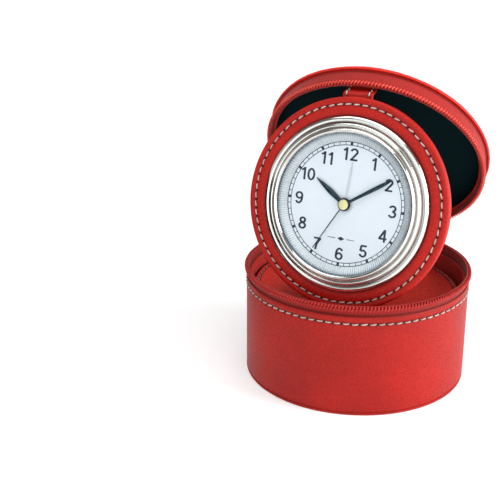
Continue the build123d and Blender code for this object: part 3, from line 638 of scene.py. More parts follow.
def base_zip():
    zip_tape("base_tape", "base_zip_tape", "base", HERE, tape_low, tape_top, leather_top + 0.4)
    half_arc = zip_half_arc("base_zip_coil")
    loops = teeth("base_coil_teeth", (coil_in + coil_out) / 2, coil_high, 1, half_arc, 1.8, 0.74)
    place(loops, "base", "zip_coil", coil_nylon, replaces=["base_zip_coil"])
    cord = coil_cord("base_coil_cord", coil_out - 0.1, coil_high - 1.15, half_arc)
    place(cord, "base", "zip_coil", red_tape)


def rim_facings():
    """Thin leather inside both rims, turned over the card's edge as far as the zip tape."""
    card_in, card_out, _, card_top = drawn("base_drum")
    floor = drawn("base_liner")[3] + 0.1
    line = outline(
        (card_in - 0.22, floor), (card_in - 0.02, floor), (card_in - 0.02, card_top + 0.02),
        (card_out, card_top + 0.02), (card_out, card_top + 0.2), (card_in - 0.22, card_top + 0.2, 0.35),
        step=0.4,
    )
    lathed("base_facing", line, 360, None, "base", "red_leather", facing_leather_painted_light)
    hoop_in, hoop_out, hoop_low, _ = drawn("lid_hoop", lid_rest)
    line = outline(
        (hoop_in - 0.35, hoop_low - 0.22, 0.1), (hoop_out, hoop_low - 0.22), (hoop_out, hoop_low - 0.02),
        (hoop_in - 0.35, hoop_low - 0.02), step=0.4,
    )
    lathed("lid_facing", line, 360, None, "lid", "red_leather", facing_leather_painted_light, lid_rest)


def zip_half_arc(node_name, rest=HERE):
    """Half of the coil's arc: how far round from the front its ends are."""
    back = rest.inverted()
    ends = [back @ vertex.co for vertex in frame["nodes"][node_name].data.vertices]
    return max(abs(atan2(point.x, -point.y)) for point in ends)


base_leather()
base_underside()
base_zip()
rim_facings()

# ---------------------------------------------------------------- padded cover in the base
PAD_SIDE = 1.8           # height of its side
_, pad_r, _, _ = drawn("floor_pad")
pad_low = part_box("floor_pad")[0].z / MM
pad_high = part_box("floor_pad")[1].z / MM
pad_slope = atan2(pad_high - pad_low - PAD_SIDE, 2 * pad_r)
PAD_TOP = (pad_high + pad_low + PAD_SIDE) / 2
pad_rest = (
    Matrix.Translation((0, 0, PAD_TOP * MM)) @ Matrix.Rotation(pad_slope, 4, "Y")
    @ Matrix.Translation((0, 0, -PAD_TOP * MM))
)
PAD_SEAM_R = pad_r - 2.0
PAD_SEAM_DROP = 0.55
PAD_STITCHES = round(TURN * PAD_SEAM_R / SEAM_PITCH)
PAD_CAP = 0.5            # the furthest that the pressure may swell it
PAD_SKIN = 0.35          # how far the drawn cover lies below the top, before it is swollen
SIM_FRAMES = 20
PAD_UPPER = 31           # points of the outline on its upper side
SIM_SCALE = 10           # the cloth is simulated ten times as large, where the solver is at ease


def pad_profile():
    """Radii and heights from the middle of the top over the edge to the middle of the underside."""
    top = PAD_TOP - PAD_SKIN
    radii = [
        *np.linspace(0.02, PAD_SEAM_R - 1.5, PAD_UPPER - 5), *np.linspace(PAD_SEAM_R - 1.0, PAD_SEAM_R + 1.0, 5)
    ]
    heights = [top - PAD_SEAM_DROP * hump(radius - PAD_SEAM_R, 0.7) for radius in radii]
    radii += [pad_r - 0.35, pad_r, pad_r - 0.25, PAD_SEAM_R - 2, pad_r * 0.5, 0.02]
    heights += [top - 0.35, top - 0.8, PAD_TOP - 1.75] + [PAD_TOP - 1.78] * 3
    return np.array(radii), np.array(heights)


def inflated(piece, held):
    """Cloth simulation of the cover: pressure swells it between the points that the seam and rim hold."""
    scene = bpy.context.scene
    mesh = piece.data
    mesh.transform(Matrix.Scale(SIM_SCALE, 4))
    before = np.zeros(len(mesh.vertices) * 3)
    mesh.vertices.foreach_get("co", before)
    group = piece.vertex_groups.new(name="held")
    group.add(held, 1.0, "REPLACE")
    cloth = piece.modifiers.new("Cloth", "CLOTH")
    cloth.settings.vertex_group_mass = "held"
    cloth.settings.use_pressure = True
    cloth.settings.uniform_pressure_force = 4.0
    cloth.settings.effector_weights.gravity = 0
    cloth.settings.tension_stiffness = 12
    cloth.settings.compression_stiffness = 8
    cloth.settings.bending_stiffness = 1.5
    cloth.settings.quality = 6
    cloth.point_cache.frame_end = SIM_FRAMES
    for moment in range(1, SIM_FRAMES + 1):
        scene.frame_set(moment)
    graph = bpy.context.evaluated_depsgraph_get()
    swollen = piece.evaluated_get(graph)
    after = np.zeros_like(before)
    swollen.data.vertices.foreach_get("co", after)
    piece.modifiers.clear()
    piece.vertex_groups.clear()
    scene.frame_set(1)
    move = (after - before).reshape(-1, 3)
    far = np.linalg.norm(move, axis=1)[:, None]
    limit = PAD_CAP * MM * SIM_SCALE
    move *= limit * np.tanh(far / limit) / (far + 1e-12)
    mesh.vertices.foreach_set("co", (before + move.reshape(-1)))
    mesh.transform(Matrix.Scale(1 / SIM_SCALE, 4))
    mesh.update()


def padded_cover():
    radii, heights = pad_profile()
    steps = PAD_STITCHES * 2
    angle = TURN * np.arange(steps)[:, None] / steps
    gather = 1 + 0.35 * np.cos(angle * PAD_STITCHES)
    upper = np.arange(len(radii)) < PAD_UPPER
    seam = (hump(radii - PAD_SEAM_R, 0.7) * upper)[None, :]
    level = heights[None, :] + PAD_SEAM_DROP * seam * (1 - gather) * 0.6
    grid = np.stack([radii * np.cos(angle), radii * np.sin(angle), level + 0 * angle], axis=-1)
    rows, columns = grid.shape[:2]
    faces = []
    for row in range(rows):
        for column in range(columns - 1):
            after = (row + 1) % rows * columns
            faces.append(
                (row * columns + column, after + column, after + column + 1, row * columns + column + 1)
            )
    mesh = meshed("floor_cushion", grid.reshape(-1, 3), faces)
    cover = cleaned("floor_cushion", mesh)
    reach = [hypot(vertex.co.x, vertex.co.y) / MM for vertex in mesh.vertices]
    low = (PAD_TOP - 1.5) * MM
    held = [
        vertex.index for vertex, radius in zip(mesh.vertices, reach)
        if vertex.co.z < low or radius > PAD_SEAM_R + 0.8 or abs(radius - PAD_SEAM_R) < 0.3
    ]
    inflated(cover, held)
    # Painted shade along the seam and round the rim.
    crease = mesh.attributes.new("crease", "FLOAT", "POINT")
    near = [0.8 * hump(radius - PAD_SEAM_R, 0.5) for radius in reach]
    rim = [0.7 * (radius > pad_r - 0.5) for radius in reach]
    crease.data.foreach_set("value", np.array(near) + np.array(rim))
    finer = cover.modifiers.new("Finer", "SUBSURF")
    finer.levels = finer.render_levels = 1
    place(cover, "base", "red_leather", pad_leather_painted_light, pad_rest, ["floor_pad"])
    level = PAD_TOP - PAD_SKIN - PAD_SEAM_DROP * 0.45
    sewn_ring("cushion_stitches", PAD_SEAM_R, level, PAD_STITCHES, upward, "base", pad_thread, pad_rest)


padded_cover()

# ---------------------------------------------------------------- lid, drawn closed
binding_in, lid_r, binding_low, binding_high = drawn("lid_edge_binding", lid_rest)
_, _, lid_tape_low, lid_tape_high = drawn("lid_zip_tape", lid_rest)
_, top_r, _, lid_top = drawn("lid_top_leather", lid_rest)
_, lining_out, lining_low, lining_high = drawn("lid_lining", lid_rest)
LINING_THICK = 0.3
TAPE_RUN = 0.8           # how far the lid's tape runs up behind the rolled edge
LID_STITCH_R = top_r - 2.6
LID_STITCHES = round(TURN * LID_STITCH_R / SEAM_PITCH)


def lid_edge():
    """Rolled leather edge: full, a little uneven, with a dark crease of painted shade where it meets the tape and
    the top.
    """
    roll_low = binding_low + TAPE_RUN
    line = outline(
        (binding_in, roll_low), (lid_r - 0.35, roll_low, 0.35), (lid_r, (roll_low + binding_high) / 2, 0.5),
        (lid_r - 0.4, binding_high, 0.35), (binding_in, binding_high), step=0.2,
    )

    def relief(radius, height, angle):
        outside = radius > lid_r - 0.8
        wave = sway(angle, (47, 0.3, 0.02), (83, 1.1, 0.015), (9, 2.0, 0.04))
        # Painted shade where the roll meets the tape and the top.
        rim = hump(radius - lid_r + 0.9, 0.5) * (np.abs(height - (roll_low + binding_high) / 2) > 0.45)
        return wave * outside, 0.55 * rim + 0 * angle

    lathed("lid_edge", line, 720, relief, "lid", "red_leather", edge_leather_painted_light, lid_rest, ["lid_edge_binding"])


def lid_cover():
    """Top disc, slightly crowned, with a ring of stitches inside its edge."""
    low = binding_high + 0.02
    line = outline((0.02, low), (top_r, low, 0.2), (top_r, lid_top, 0.45), (0.02, lid_top), step=0.5)

    def relief(radius, height, angle):
        upper = height > (low + lid_top) / 2
        run = angle * LID_STITCH_R
        lift, crease = seam_relief(radius - LID_STITCH_R, run, TURN * LID_STITCH_R / LID_STITCHES)
        calm = hump(radius, 36, 4) * (1 - hump(radius, 9))
        wave = 0.10 * calm * np.sin(radius / 9 + 2 * np.cos(angle + 0.5))
        return (lift * 0.8 + wave - 0.1) * upper, crease * upper

    lathed(
        "lid_cover", line, LID_STITCHES * 8, relief, "lid", "red_leather", red_leather, lid_rest,
        ["lid_top_leather"]
    )
    sewn_ring("lid_stitches", LID_STITCH_R, lid_top - 0.12, LID_STITCHES, upward, "lid", thread, lid_rest)


def lid_inside():
    """Dark lining: a shallow cup with a rolled hem, and a ceiling that is glued down unevenly."""
    wall_in = lining_out - LINING_THICK
    ceiling = lining_high - LINING_THICK
    line = outline(
        (lining_out, lining_low, 0.1), (lining_out, lining_high), (0.02, lining_high), (0.02, ceiling),
        (wall_in, ceiling, 0.9), (wall_in, lining_low, 0.1), step=0.8,
    )

    def relief(radius, height, angle):
        inside = (radius < wall_in + 0.05) * (height < ceiling + 0.05)
        puff = sway(angle, (6, 0.2, 0.06), (14, 1.3, 0.05), (31, 2.2, 0.04)) * (radius / wall_in) ** 3
        return (0.08 + puff) * inside, 0.0

    lathed("lid_lining_cloth", line, 480, relief, "lid", "dark_lining", dark_lining, lid_rest, ["lid_lining"])


def lid_zip():
    tape_end = lid_tape_high + TAPE_RUN
    zip_tape("lid_tape", "lid_zip_tape", "lid", lid_rest, lid_tape_low, tape_end, tape_end)
    half_arc = zip_half_arc("lid_zip_coil", lid_rest)
    edge = drawn("lid_zip_coil", lid_rest)[2]
    loops = teeth("lid_coil_teeth", (coil_in + coil_out) / 2, edge, -1, half_arc, 1.55, 0.60)
    place(loops, "lid", "zip_coil", nylon_painted_light, lid_rest, ["lid_zip_coil"])


lid_edge()
lid_cover()
lid_inside()
lid_zip()


# ---------------------------------------------------------------- leather that crosses a joint
def leather_band(rows, width, thickness, stitch_inset, steps=14):
    """Strip of leather along rows of (centre, along, side, out), with rounded edges and a seam by each edge.

    Returns the grid, its crease, and the two seams' rows of (run, spot, along, out).
    """
    half = np.linspace(-1, 1, steps * 2 + 1)
    grid, crease, seams = [], [], ([], [])
    run = 0.0
    reach = width / 2
    for index, (centre, along, side, out) in enumerate(rows):
        if index:
            run += (centre - rows[index - 1][0]).length
        face, shade = [], []
        for part in half:
            offset = reach * part
            lift, dark = seam_relief(abs(offset) - reach + stitch_inset, run, depth=0.22)
            drop = 0.45 * thickness * max(0.0, (abs(offset) - reach + 0.5) / 0.5) ** 2
            face.append(centre + side * offset + out * (thickness / 2 + lift - drop))
            shade.append(dark)
        back = [centre + side * reach * part - out * thickness / 2 for part in half[::-1]]
        grid.append([tuple(point) for point in face + back])
        # Painted shade by each seam, and over the whole back of the strip.
        crease.append(shade + [0.3] * len(back))
        for seam, sign in zip(seams, (-1, 1)):
            seam.append((run, centre + side * (reach - stitch_inset) * sign + out * thickness / 2, along, out))
    return np.array(grid), np.array(crease), seams


def seam_places(seam, first, last):
    """Stitch places along a seam of (run, spot, along, out) rows, between two runs."""
    runs = np.array([row[0] for row in seam])
    places = []
    here = first + SEAM_PITCH / 2
    while here < last - SEAM_PITCH / 2:
        index = min(int(np.searchsorted(runs, here)), len(seam) - 1)
        before = seam[max(index - 1, 0)]
        part = (here - before[0]) / max(seam[index][0] - before[0], 1e-9)
        spot = before[1].lerp(seam[index][1], part)
        along, out = seam[index][2], seam[index][3]
        places.append((spot, along, out.cross(along), out))
        here += SEAM_PITCH
    return places


def crossing(band, sewn):
    """Leather and its stitches that cross from one body to another: each gets its material, and its place is baked
    into its mesh.
    """
    for made, finish in ((band, red_leather), (sewn, thread)):
        made.data.materials.append(finish)
        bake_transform(made)


PANEL_THICK = 1.0
PANEL_HALF_ARC = radians(23.7)
PANEL_INSET = 2.6        # from its side edge to its seam
PANEL_STANDOFF = 1.2     # how far it stands off the hinge where it bends
BEND_FROM = 43.0         # height where the bend starts
PANEL_LIP = 50.6         # height of its upper edge, if it stood straight


def hinge_cover():
    """Leather panel up the back of the base, bent over the hinge to the lid's edge, sewn down both sides."""
    inner = case_r + 0.05
    thickness, half_arc = PANEL_THICK, PANEL_HALF_ARC
    columns = np.linspace(-1, 1, 61)
    heights = [base_seam_low + 0.05 + (BEND_FROM - base_seam_low) * part for part in np.linspace(0, 1, 90)]
    bends = [(height, 0.0, 0.0) for height in heights]
    for part in np.linspace(0, 1, 28)[1:]:
        height = BEND_FROM + (PANEL_LIP - BEND_FROM) * part
        bends.append((height, PANEL_STANDOFF * min(1.0, 2 * part), lid_angle * part))
    grid, crease, seams = [], [], ([], [])
    run = 0.0
    place_before = None
    for height, offset, turn in bends:
        swing = (
            Matrix.Translation((0, mouth, mouth)) @ Matrix.Rotation(turn, 4, "X")
            @ Matrix.Translation((0, -mouth, -mouth))
        )

        def spot(part, out):
            angle = pi / 2 - half_arc * part
            radius = inner + thickness / 2 + offset + out
            return swing @ Vector((radius * cos(angle), radius * sin(angle), height))

        middle = spot(0, 0)
        if place_before is not None:
            run += (middle - place_before).length
        place_before = middle
        reach = half_arc * (inner + thickness)
        face, shade = [], []
        for part in columns:
            away = abs(part) * reach - reach + PANEL_INSET
            lift, dark = seam_relief(away, run, depth=0.22)
            drop = 0.45 * thickness * max(0.0, (abs(part) * reach - reach + 0.6) / 0.6) ** 2
            face.append(tuple(spot(part, thickness / 2 + lift - drop)))
            shade.append(dark)
        back = [tuple(spot(part, -thickness / 2)) for part in columns[::-1]]
        grid.append(face + back)
        # Painted shade by each seam, and over the whole back of the panel.
        crease.append(shade + [0.3] * len(back))
        for seam, sign in zip(seams, (-1, 1)):
            part = sign * (reach - PANEL_INSET) / reach
            here = spot(part, thickness / 2)
            out = (spot(part, 1.0) - spot(part, 0.0)).normalized()
            seam.append([run, here, None, out])
    for seam in seams:
        for index, row in enumerate(seam):
            after = seam[min(index + 1, len(seam) - 1)][1]
            before = seam[max(index - 1, 0)][1]
            row[2] = (after - before).normalized()
    panel = skin("hinge_leather", np.array(grid), np.array(crease), wrap=False)
    places = seam_places(seams[0], 1.0, run - 1.5) + seam_places(seams[1], 1.0, run - 1.5)
    sewn = repeated("hinge_stitches", stitch_template(), places)
    crossing(panel, sewn)
    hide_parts("hinge_panel")


def on_curve(corners, count):
    """Points of a smooth curve through a few corners."""
    knots = [2 * corners[0] - corners[1]] + corners + [2 * corners[-1] - corners[-2]]
    points = []
    for a, b, c, d in zip(knots, knots[1:], knots[2:], knots[3:]):
        for part in np.linspace(0, 1, count, endpoint=False):
            points.append(0.5 * (
                2 * b + (c - a) * part + (2 * a - 5 * b + 4 * c - d) * part**2
                + (3 * b - a - 3 * c + d) * part**3
            ))
    return points + [corners[-1]]


STRAP_WIDTH = 12.0
STRAP_THICK = 0.9


def plate_strap():
    """Strap from inside the lid's front rim to the back of the plate, sewn along both edges."""
    back = drawn("plate_front_leather", plate_rest)[2] - 1.3
    sewn_down = ((33.5, back), (41.0, back), (42.8, back - 0.6))
    on_plate = [plate_rest @ (Vector((0, up, out)) * MM) / MM for up, out in sewn_down]
    inside = lining_out - LINING_THICK
    in_lid = [
        lid_rest @ (Vector((0, -inside + 1.6, mouth + 1.4)) * MM) / MM,
        lid_rest @ (Vector((0, -inside + 1.4, lining_high - 1.5)) * MM) / MM,
    ]
    corners = [Vector((0, point.y, point.z)) for point in on_plate + in_lid]
    path = on_curve(corners, 16)
    rows = []
    for index, centre in enumerate(path):
        along = (path[min(index + 1, len(path) - 1)] - path[max(index - 1, 0)]).normalized()
        side = Vector((1, 0, 0))
        out = side.cross(along)
        if out.z < 0:
            out = -out
        rows.append((centre, along, side, out))
    grid, crease, seams = leather_band(rows, STRAP_WIDTH, STRAP_THICK, 1.5)
    strap = skin("strap_leather", grid, crease, wrap=False)
    end = seams[0][-1][0]
    places = seam_places(seams[0], 0.5, end) + seam_places(seams[1], 0.5, end)
    sewn = repeated("strap_stitches", stitch_template(2.1, 0.45, 0.16), places)
    crossing(strap, sewn)
    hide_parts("strap")


hinge_cover()
plate_strap()

# ---------------------------------------------------------------- clock plate, drawn face up
hole_r, plate_r, plate_back, plate_face = drawn("plate_front_leather", plate_rest)
_, bezel_r, _, bezel_peak = drawn("bezel", plate_rest)
rehaut_in, _, _, rehaut_top = drawn("rehaut_ring", plate_rest)
dial_hole, dial_r, dial_low, dial_face = drawn("dial", plate_rest)
glass_r = drawn("crystal", plate_rest)[1] - 0.7
PLATE_STITCH_R = plate_r - 2.9
PLATE_STITCHES = 70


def plate_leather():
    """Front leather: full round the bezel, pulled down by its ring of stitches, and turned over the edge."""
    wrap = 0.9
    line = outline(
        (hole_r, plate_face - wrap), (plate_r - wrap, plate_face - wrap), (plate_r - wrap, plate_back),
        (plate_r, plate_back, 0.35), (plate_r, plate_face, 1.0), (hole_r, plate_face), step=0.42,
    )

    def relief(radius, height, angle):
        front = (height > plate_face - 0.05) * (radius > bezel_r - 2)
        run = angle * PLATE_STITCH_R
        lift, crease = seam_relief(radius - PLATE_STITCH_R, run, TURN * PLATE_STITCH_R / PLATE_STITCHES, 0.34)
        full = 0.30 * hump(radius - PLATE_STITCH_R + 2.4, 1.3) + 0.14 * hump(radius - PLATE_STITCH_R - 1.5, 0.8)
        # The tuck dips the leather, and also paints shade where it meets the bezel.
        tuck = hump(radius - bezel_r - 0.1, 0.45)
        wave = sway(angle, (7, 0.5, 0.05), (23, 1.2, 0.03))
        return (lift + full + wave - 0.2 * tuck) * front, np.clip(crease + 0.8 * tuck, 0, 1) * front

    lathed(
        "plate_leather", line, PLATE_STITCHES * 12, relief, "clock_plate", "red_leather", plate_red_painted_light, plate_rest,
        ["plate_front_leather"],
    )
    level = plate_face - 0.05
    sewn_ring("plate_stitches", PLATE_STITCH_R, level, PLATE_STITCHES, upward, "clock_plate", thread, plate_rest)


def plate_lining():
    """Back leather, with the other side of the same seam."""
    inner, reach, low, high = drawn("plate_back_leather", plate_rest)
    line = outline((inner, low), (reach, low), (reach, high), (inner, high), step=0.45)

    def relief(radius, height, angle):
        rear = height < low + 0.05
        run = angle * PLATE_STITCH_R
        lift, crease = seam_relief(radius - PLATE_STITCH_R, run, TURN * PLATE_STITCH_R / PLATE_STITCHES, 0.22)
        return lift * rear, crease * rear

    lathed(
        "plate_back_cover", line, PLATE_STITCHES * 8, relief, "clock_plate", "red_leather", red_leather,
        plate_rest, ["plate_back_leather"],
    )
    sewn_ring(
        "plate_back_stitches", PLATE_STITCH_R, low + 0.05, PLATE_STITCHES, lambda angle: (0, 0, -1),
        "clock_plate", thread, plate_rest,
    )


def polished_bezel():
    """Three rounded steps with a narrow groove between each pair, and a lip over the glass."""
    line = outline(
        (glass_r + 0.7, 0), (bezel_r, 0, 0.1), (bezel_r, 1.25, 0.6), (bezel_r - 0.9, 1.85, 0.6),
        (bezel_r - 1.95, 1.62, 0.35), (bezel_r - 2.3, 1.0, 0.12), (bezel_r - 2.6, 1.7, 0.3),
        (bezel_r - 2.85, 2.6, 0.4), (bezel_r - 3.5, 2.92, 0.4), (bezel_r - 4.05, 2.72, 0.3),
        (bezel_r - 4.3, 2.12, 0.12), (bezel_r - 4.55, 2.75, 0.3), (bezel_r - 4.8, 3.6, 0.4),
        (bezel_r - 5.35, bezel_peak, 0.4), (bezel_r - 6.0, 3.75, 0.25), (glass_r, 3.3, 0.12), (glass_r, 3.0),
        (glass_r + 0.7, 3.0), step=0.15,
    )

    def relief(radius, height, angle):
        # Painted shade and painted reflection of the red leather in the two grooves, and painted shade on the lip
        # over the glass.
        first, second = np.abs(radius - bezel_r + 2.3), np.abs(radius - bezel_r + 4.3)
        lip = 0.25 * (radius < bezel_r - 5.7)
        return 0.0, 0.7 * hump(first, 0.2) + 0.45 * hump(second, 0.2) + lip + 0 * angle

    lathed("bezel_ring", line, 360, relief, "clock_plate", "bright_metal", chrome, plate_rest, ["bezel"])


def ribbed_rehaut():
    """Silvered slope between the dial and the glass, with fine ribs."""
    line = outline(
        (rehaut_in, 0), (glass_r + 0.7, 0), (glass_r + 0.7, rehaut_top), (glass_r - 0.4, rehaut_top, 0.1),
        (rehaut_in, 0.25, 0.08), step=0.5,
    )

    def relief(radius, height, angle):
        slope = (radius < glass_r - 0.2) * (height > 0.2)
        rib = np.cos(angle * 180)
        # Painted shade under the glass's edge and between the ribs.
        shade = 0.75 * hump(glass_r - radius, 0.9) + 0.30 * (0.5 - 0.5 * rib)
        return 0.10 * rib * slope, shade * (height > 0.1)

    lathed("rehaut", line, 1080, relief, "clock_plate", "silver_plastic", silver, plate_rest, ["rehaut_ring"])


def dial_disc():
    line = outline(
        (dial_hole, dial_low), (dial_r, dial_low), (dial_r, dial_face), (dial_hole, dial_face), step=1.5
    )
    lathed("dial_face", line, 180, None, "clock_plate", "dial_paint", enamel, plate_rest, ["dial"])


PRINT_LOW, PRINT_HIGH = 0.005, 0.035
TRACK_OUT = rehaut_in - 0.18
TRACK_IN = TRACK_OUT - 1.28
TRACK_LINE = 0.27
MINUTE_TICK = 0.25
HOUR_BLOCK = 1.05


def sector(inner, outer, angle, width):
    """Corners of a printed block between two radii, square to a radius at a clock angle in radians."""
    out = Vector((sin(angle), cos(angle), 0))
    side = Vector((cos(angle), -sin(angle), 0)) * width / 2
    corners = [out * inner - side, out * inner + side, out * outer + side, out * outer - side]
    return [(point.x, point.y) for point in corners]


def prisms(name, outlines):
    """Printed prisms, each on a closed outline of (x, y) that runs anticlockwise."""
    points, faces = [], []
    for corners in outlines:
        first, count = len(points), len(corners)
        points += [(x, y, level) for level in (PRINT_LOW, PRINT_HIGH) for x, y in corners]
        low, high = range(first, first + count), range(first + count, first + 2 * count)
        faces += [tuple(low)[::-1], tuple(high)]
        for index in range(count):
            after = (index + 1) % count
            faces.append((low[index], low[after], high[after], high[index]))
    printed(flat(cleaned(name, meshed(name, points, faces))))


def printed(piece):
    place(piece, "clock_plate", "navy_paint", ink, plate_rest)


def dial_track():
    """Railway minute track: two rings, a tick for each minute and a solid block for each hour."""
    for name, radius in (("track_ring_out", TRACK_OUT), ("track_ring_in", TRACK_IN)):
        line = outline(
            (radius - TRACK_LINE / 2, PRINT_LOW), (radius + TRACK_LINE / 2, PRINT_LOW),
            (radius + TRACK_LINE / 2, PRINT_HIGH), (radius - TRACK_LINE / 2, PRINT_HIGH),
        )
        printed(skin(name, *turned(line, 360)))
    widths = [HOUR_BLOCK if minute % 5 == 0 else MINUTE_TICK for minute in range(60)]
    angles = [TURN * minute / 60 for minute in range(60)]
    prisms("track_marks", [sector(TRACK_IN, TRACK_OUT, *block) for block in zip(angles, widths)])


def flat(piece):
    for face in piece.data.polygons:
        face.use_smooth = False
    return piece


NUMERAL_R = 19.5
NUMERAL_HEIGHT = 4.9
NUMERAL_STRETCH = 1.2    # width against height
NUMERAL_GAP = 0.12       # between two digits, as a part of the height
STROKE = 0.150           # width of a stroke, as a part of the height


def bow(middle, level, wide, tall, start, end, count=16):
    """Part of an ellipse between two angles in degrees."""
    angles = np.radians(np.linspace(start, end, count))
    return [(middle + wide * cos(angle), level + tall * sin(angle)) for angle in angles]


def digit_strokes(digit):
    """Middle lines of the strokes of a plain sans digit, 1 high and 0.56 wide."""
    low, high = STROKE / 2, 1 - STROKE / 2
    if digit == "9":
        return [[(0.56 - x, 1 - y) for x, y in stroke] for stroke in digit_strokes("6")]
    return {
        "0": [bow(0.28, 0.5, 0.21, high - 0.5, 0, 360, 41)],
        "1": [[(0.36, 0), (0.36, 1)], [(0.35, 0.94), (0.27, 0.84), (0.13, 0.76)]],
        "2": [bow(0.28, 0.71, 0.21, high - 0.71, 172, -38) + [(0.10, low)], [(0.02, low), (0.54, low)]],
        "3": [bow(0.27, 0.735, 0.19, high - 0.735, 165, -90), bow(0.27, 0.29, 0.215, 0.29 - low, 90, -165)],
        "4": [[(0.40, 0), (0.40, 1)], [(0.38, 0.94), (0.07, 0.32)], [(0.0, 0.28), (0.56, 0.28)]],
        "5": [
            [(0.50, high), (0.11, high)], [(0.14, 0.95), (0.08, 0.50)],
            bow(0.27, 0.32, 0.21, 0.32 - low, 142, -165),
        ],
        "6": [
            bow(0.28, 0.31, 0.21, 0.31 - low, 0, 360, 41),
            bow(0.30, 0.50, 0.23, high - 0.50, 38, 180) + [(0.07, 0.31)],
        ],
        "7": [[(0.02, high), (0.54, high)], [(0.50, 0.90), (0.37, 0.70), (0.27, 0.45), (0.22, 0.20), (0.20, 0)]],
        "8": [bow(0.28, 0.745, 0.17, high - 0.745, 0, 360, 41), bow(0.28, 0.29, 0.21, 0.29 - low, 0, 360, 41)],
    }[digit]


def inked(stroke, origin):
    """Printed stroke of even width along a middle line; closed where the line ends at its start."""
    path = np.array(stroke)
    closed = bool(np.allclose(path[0], path[-1]))
    slope = np.gradient(path, axis=0)
    if closed:
        path, slope = path[:-1], slope[:-1]
        slope[0] = path[1] - path[-1]
    slope /= np.linalg.norm(slope, axis=1)[:, None]
    half = np.stack([-slope[:, 1], slope[:, 0]], axis=1) * STROKE / 2
    left = (path + half) * (NUMERAL_STRETCH, 1) * NUMERAL_HEIGHT + origin
    right = (path - half) * (NUMERAL_STRETCH, 1) * NUMERAL_HEIGHT + origin
    corners = [(left, PRINT_LOW), (right, PRINT_LOW), (right, PRINT_HIGH), (left, PRINT_HIGH)]
    grid = np.stack([np.column_stack([side, np.full(len(side), level)]) for side, level in corners], axis=1)
    return skin("stroke", grid, wrap=closed)


def joined(name, pieces):
    """One object of several, which it takes the place of."""
    shape = bmesh.new()
    for piece in pieces:
        shape.from_mesh(piece.data)
        bpy.data.objects.remove(piece)
    mesh = bpy.data.meshes.new(name)
    shape.to_mesh(mesh)
    shape.free()
    return flat(linked(name, mesh))


def dial_numerals():
    """Upright sans numerals on a circle."""
    strokes = []
    for hour in range(1, 13):
        digits = [digit_strokes(digit) for digit in str(hour)]
        ends = [[x for stroke in digit for x, _ in stroke] for digit in digits]
        sizes = [max(end) - min(end) + STROKE for end in ends]
        run = -(sum(sizes) + NUMERAL_GAP * (len(sizes) - 1)) / 2
        angle = TURN * hour / 12
        centre = np.array([NUMERAL_R * sin(angle), NUMERAL_R * cos(angle)])
        for digit, end, size in zip(digits, ends, sizes):
            shift = run - min(end) + STROKE / 2
            origin = centre + np.array([shift * NUMERAL_STRETCH, -0.5]) * NUMERAL_HEIGHT
            strokes += [inked(stroke, origin) for stroke in digit]
            run += size + NUMERAL_GAP
    printed(joined("dial_numerals", strokes))


def dial_ornament():
    """Small printed device in the lower half: a lozenge between two fine bars."""
    middle, reach = -13.5, 5.6
    lozenge = [(-1.5, 0), (0, -0.8), (1.5, 0), (0, 0.8)]
    bars = [
        [(sign * 2.4, -0.16), (sign * reach, -0.1), (sign * reach, 0.1), (sign * 2.4, 0.16)] for sign in (-1, 1)
    ]
    prisms("dial_ornament", [[(x, middle + y) for x, y in corners] for corners in [lozenge] + bars])


plate_leather()
plate_lining()
polished_bezel()
ribbed_rehaut()
dial_disc()
dial_track()
dial_numerals()
dial_ornament()


# ---------------------------------------------------------------- hands
def hand_angle(body):
    """Clock angle of a hand at rest and its length in mm, from the far point of its CAD blade."""
    back = plate_rest.inverted()
    far = max(
        (back @ vertex.co for vertex in frame["nodes"][body].data.vertices), key=lambda spot: spot.xy.length
    )
    return atan2(far.x, far.y), far.xy.length / MM


def blade(name, widths, hub, ridge):
    """Hand with a raised middle line: widths are (distance, half width) from the arbor to the tip."""
    hole, _, low, high = drawn(name, plate_rest)
    angle, _ = hand_angle(name)
    grid = []
    for distance, half in widths:
        edge = high - 0.6 * (high - low)
        row = [
            (-half, distance, low), (half, distance, low), (half, distance, edge), (0, distance, high + ridge)
        ]
        grid.append(row + [(-half, distance, edge)])
    lance = skin(name + "_blade", np.array(grid), wrap=False)
    flat(lance)
    line = outline((hole, low), (hub, low), (hub, high, 0.05), (hole, high, 0.02), step=0.6)
    collar = skin(name + "_hub", *turned(line, 64))
    for made in (lance, collar):
        made.data.transform(Matrix.Rotation(-angle, 4, "Z"))
    return lance, collar


def hands():
    names = ("hour_hand", "minute_hand", "second_hand", "alarm_hand")
    hour, minute, second, alarm = (hand_angle(name)[1] for name in names)
    shapes = (
        (
            "hour_hand",
            [(1.8, 0.8), (4, 0.98), (7, 1.15), (9, 1.05), (12, 0.7), (hour - 1, 0.36), (hour, 0.12)],
            2.6, 0.12,
        ),
        (
            "minute_hand",
            [(1.4, 0.5), (6, 0.6), (12, 0.74), (17, 0.76), (19.5, 0.58), (minute - 0.7, 0.34), (minute, 0.12)],
            2.3, 0.12,
        ),
        ("second_hand", [(0.6, 0.24), (second * 0.5, 0.22), (second, 0.19)], 1.2, 0.03),
        ("alarm_hand", [(2.3, 0.40), (alarm - 2, 0.32), (alarm, 0.14)], 2.9, 0.05),
    )
    for name, widths, hub, ridge in shapes:
        finish = grey_lacquer if name == "alarm_hand" else navy_lacquer
        slot = "silver_paint" if name == "alarm_hand" else "navy_paint"
        lance, collar = blade(name, widths, hub, ridge)
        place(lance, name, slot, finish, plate_rest, [name])
        place(collar, name, slot, finish, plate_rest)
    _, reach, low, high = drawn("second_hand_cap", plate_rest)
    line = outline((0.02, low), (reach, low), (reach, high, 0.25), (0.02, high + 0.06), step=0.2)
    cap = skin("hand_cap", *turned(line, 72))
    place(cap, "second_hand", "brass", pale_brass, plate_rest, ["second_hand_cap"])


hands()

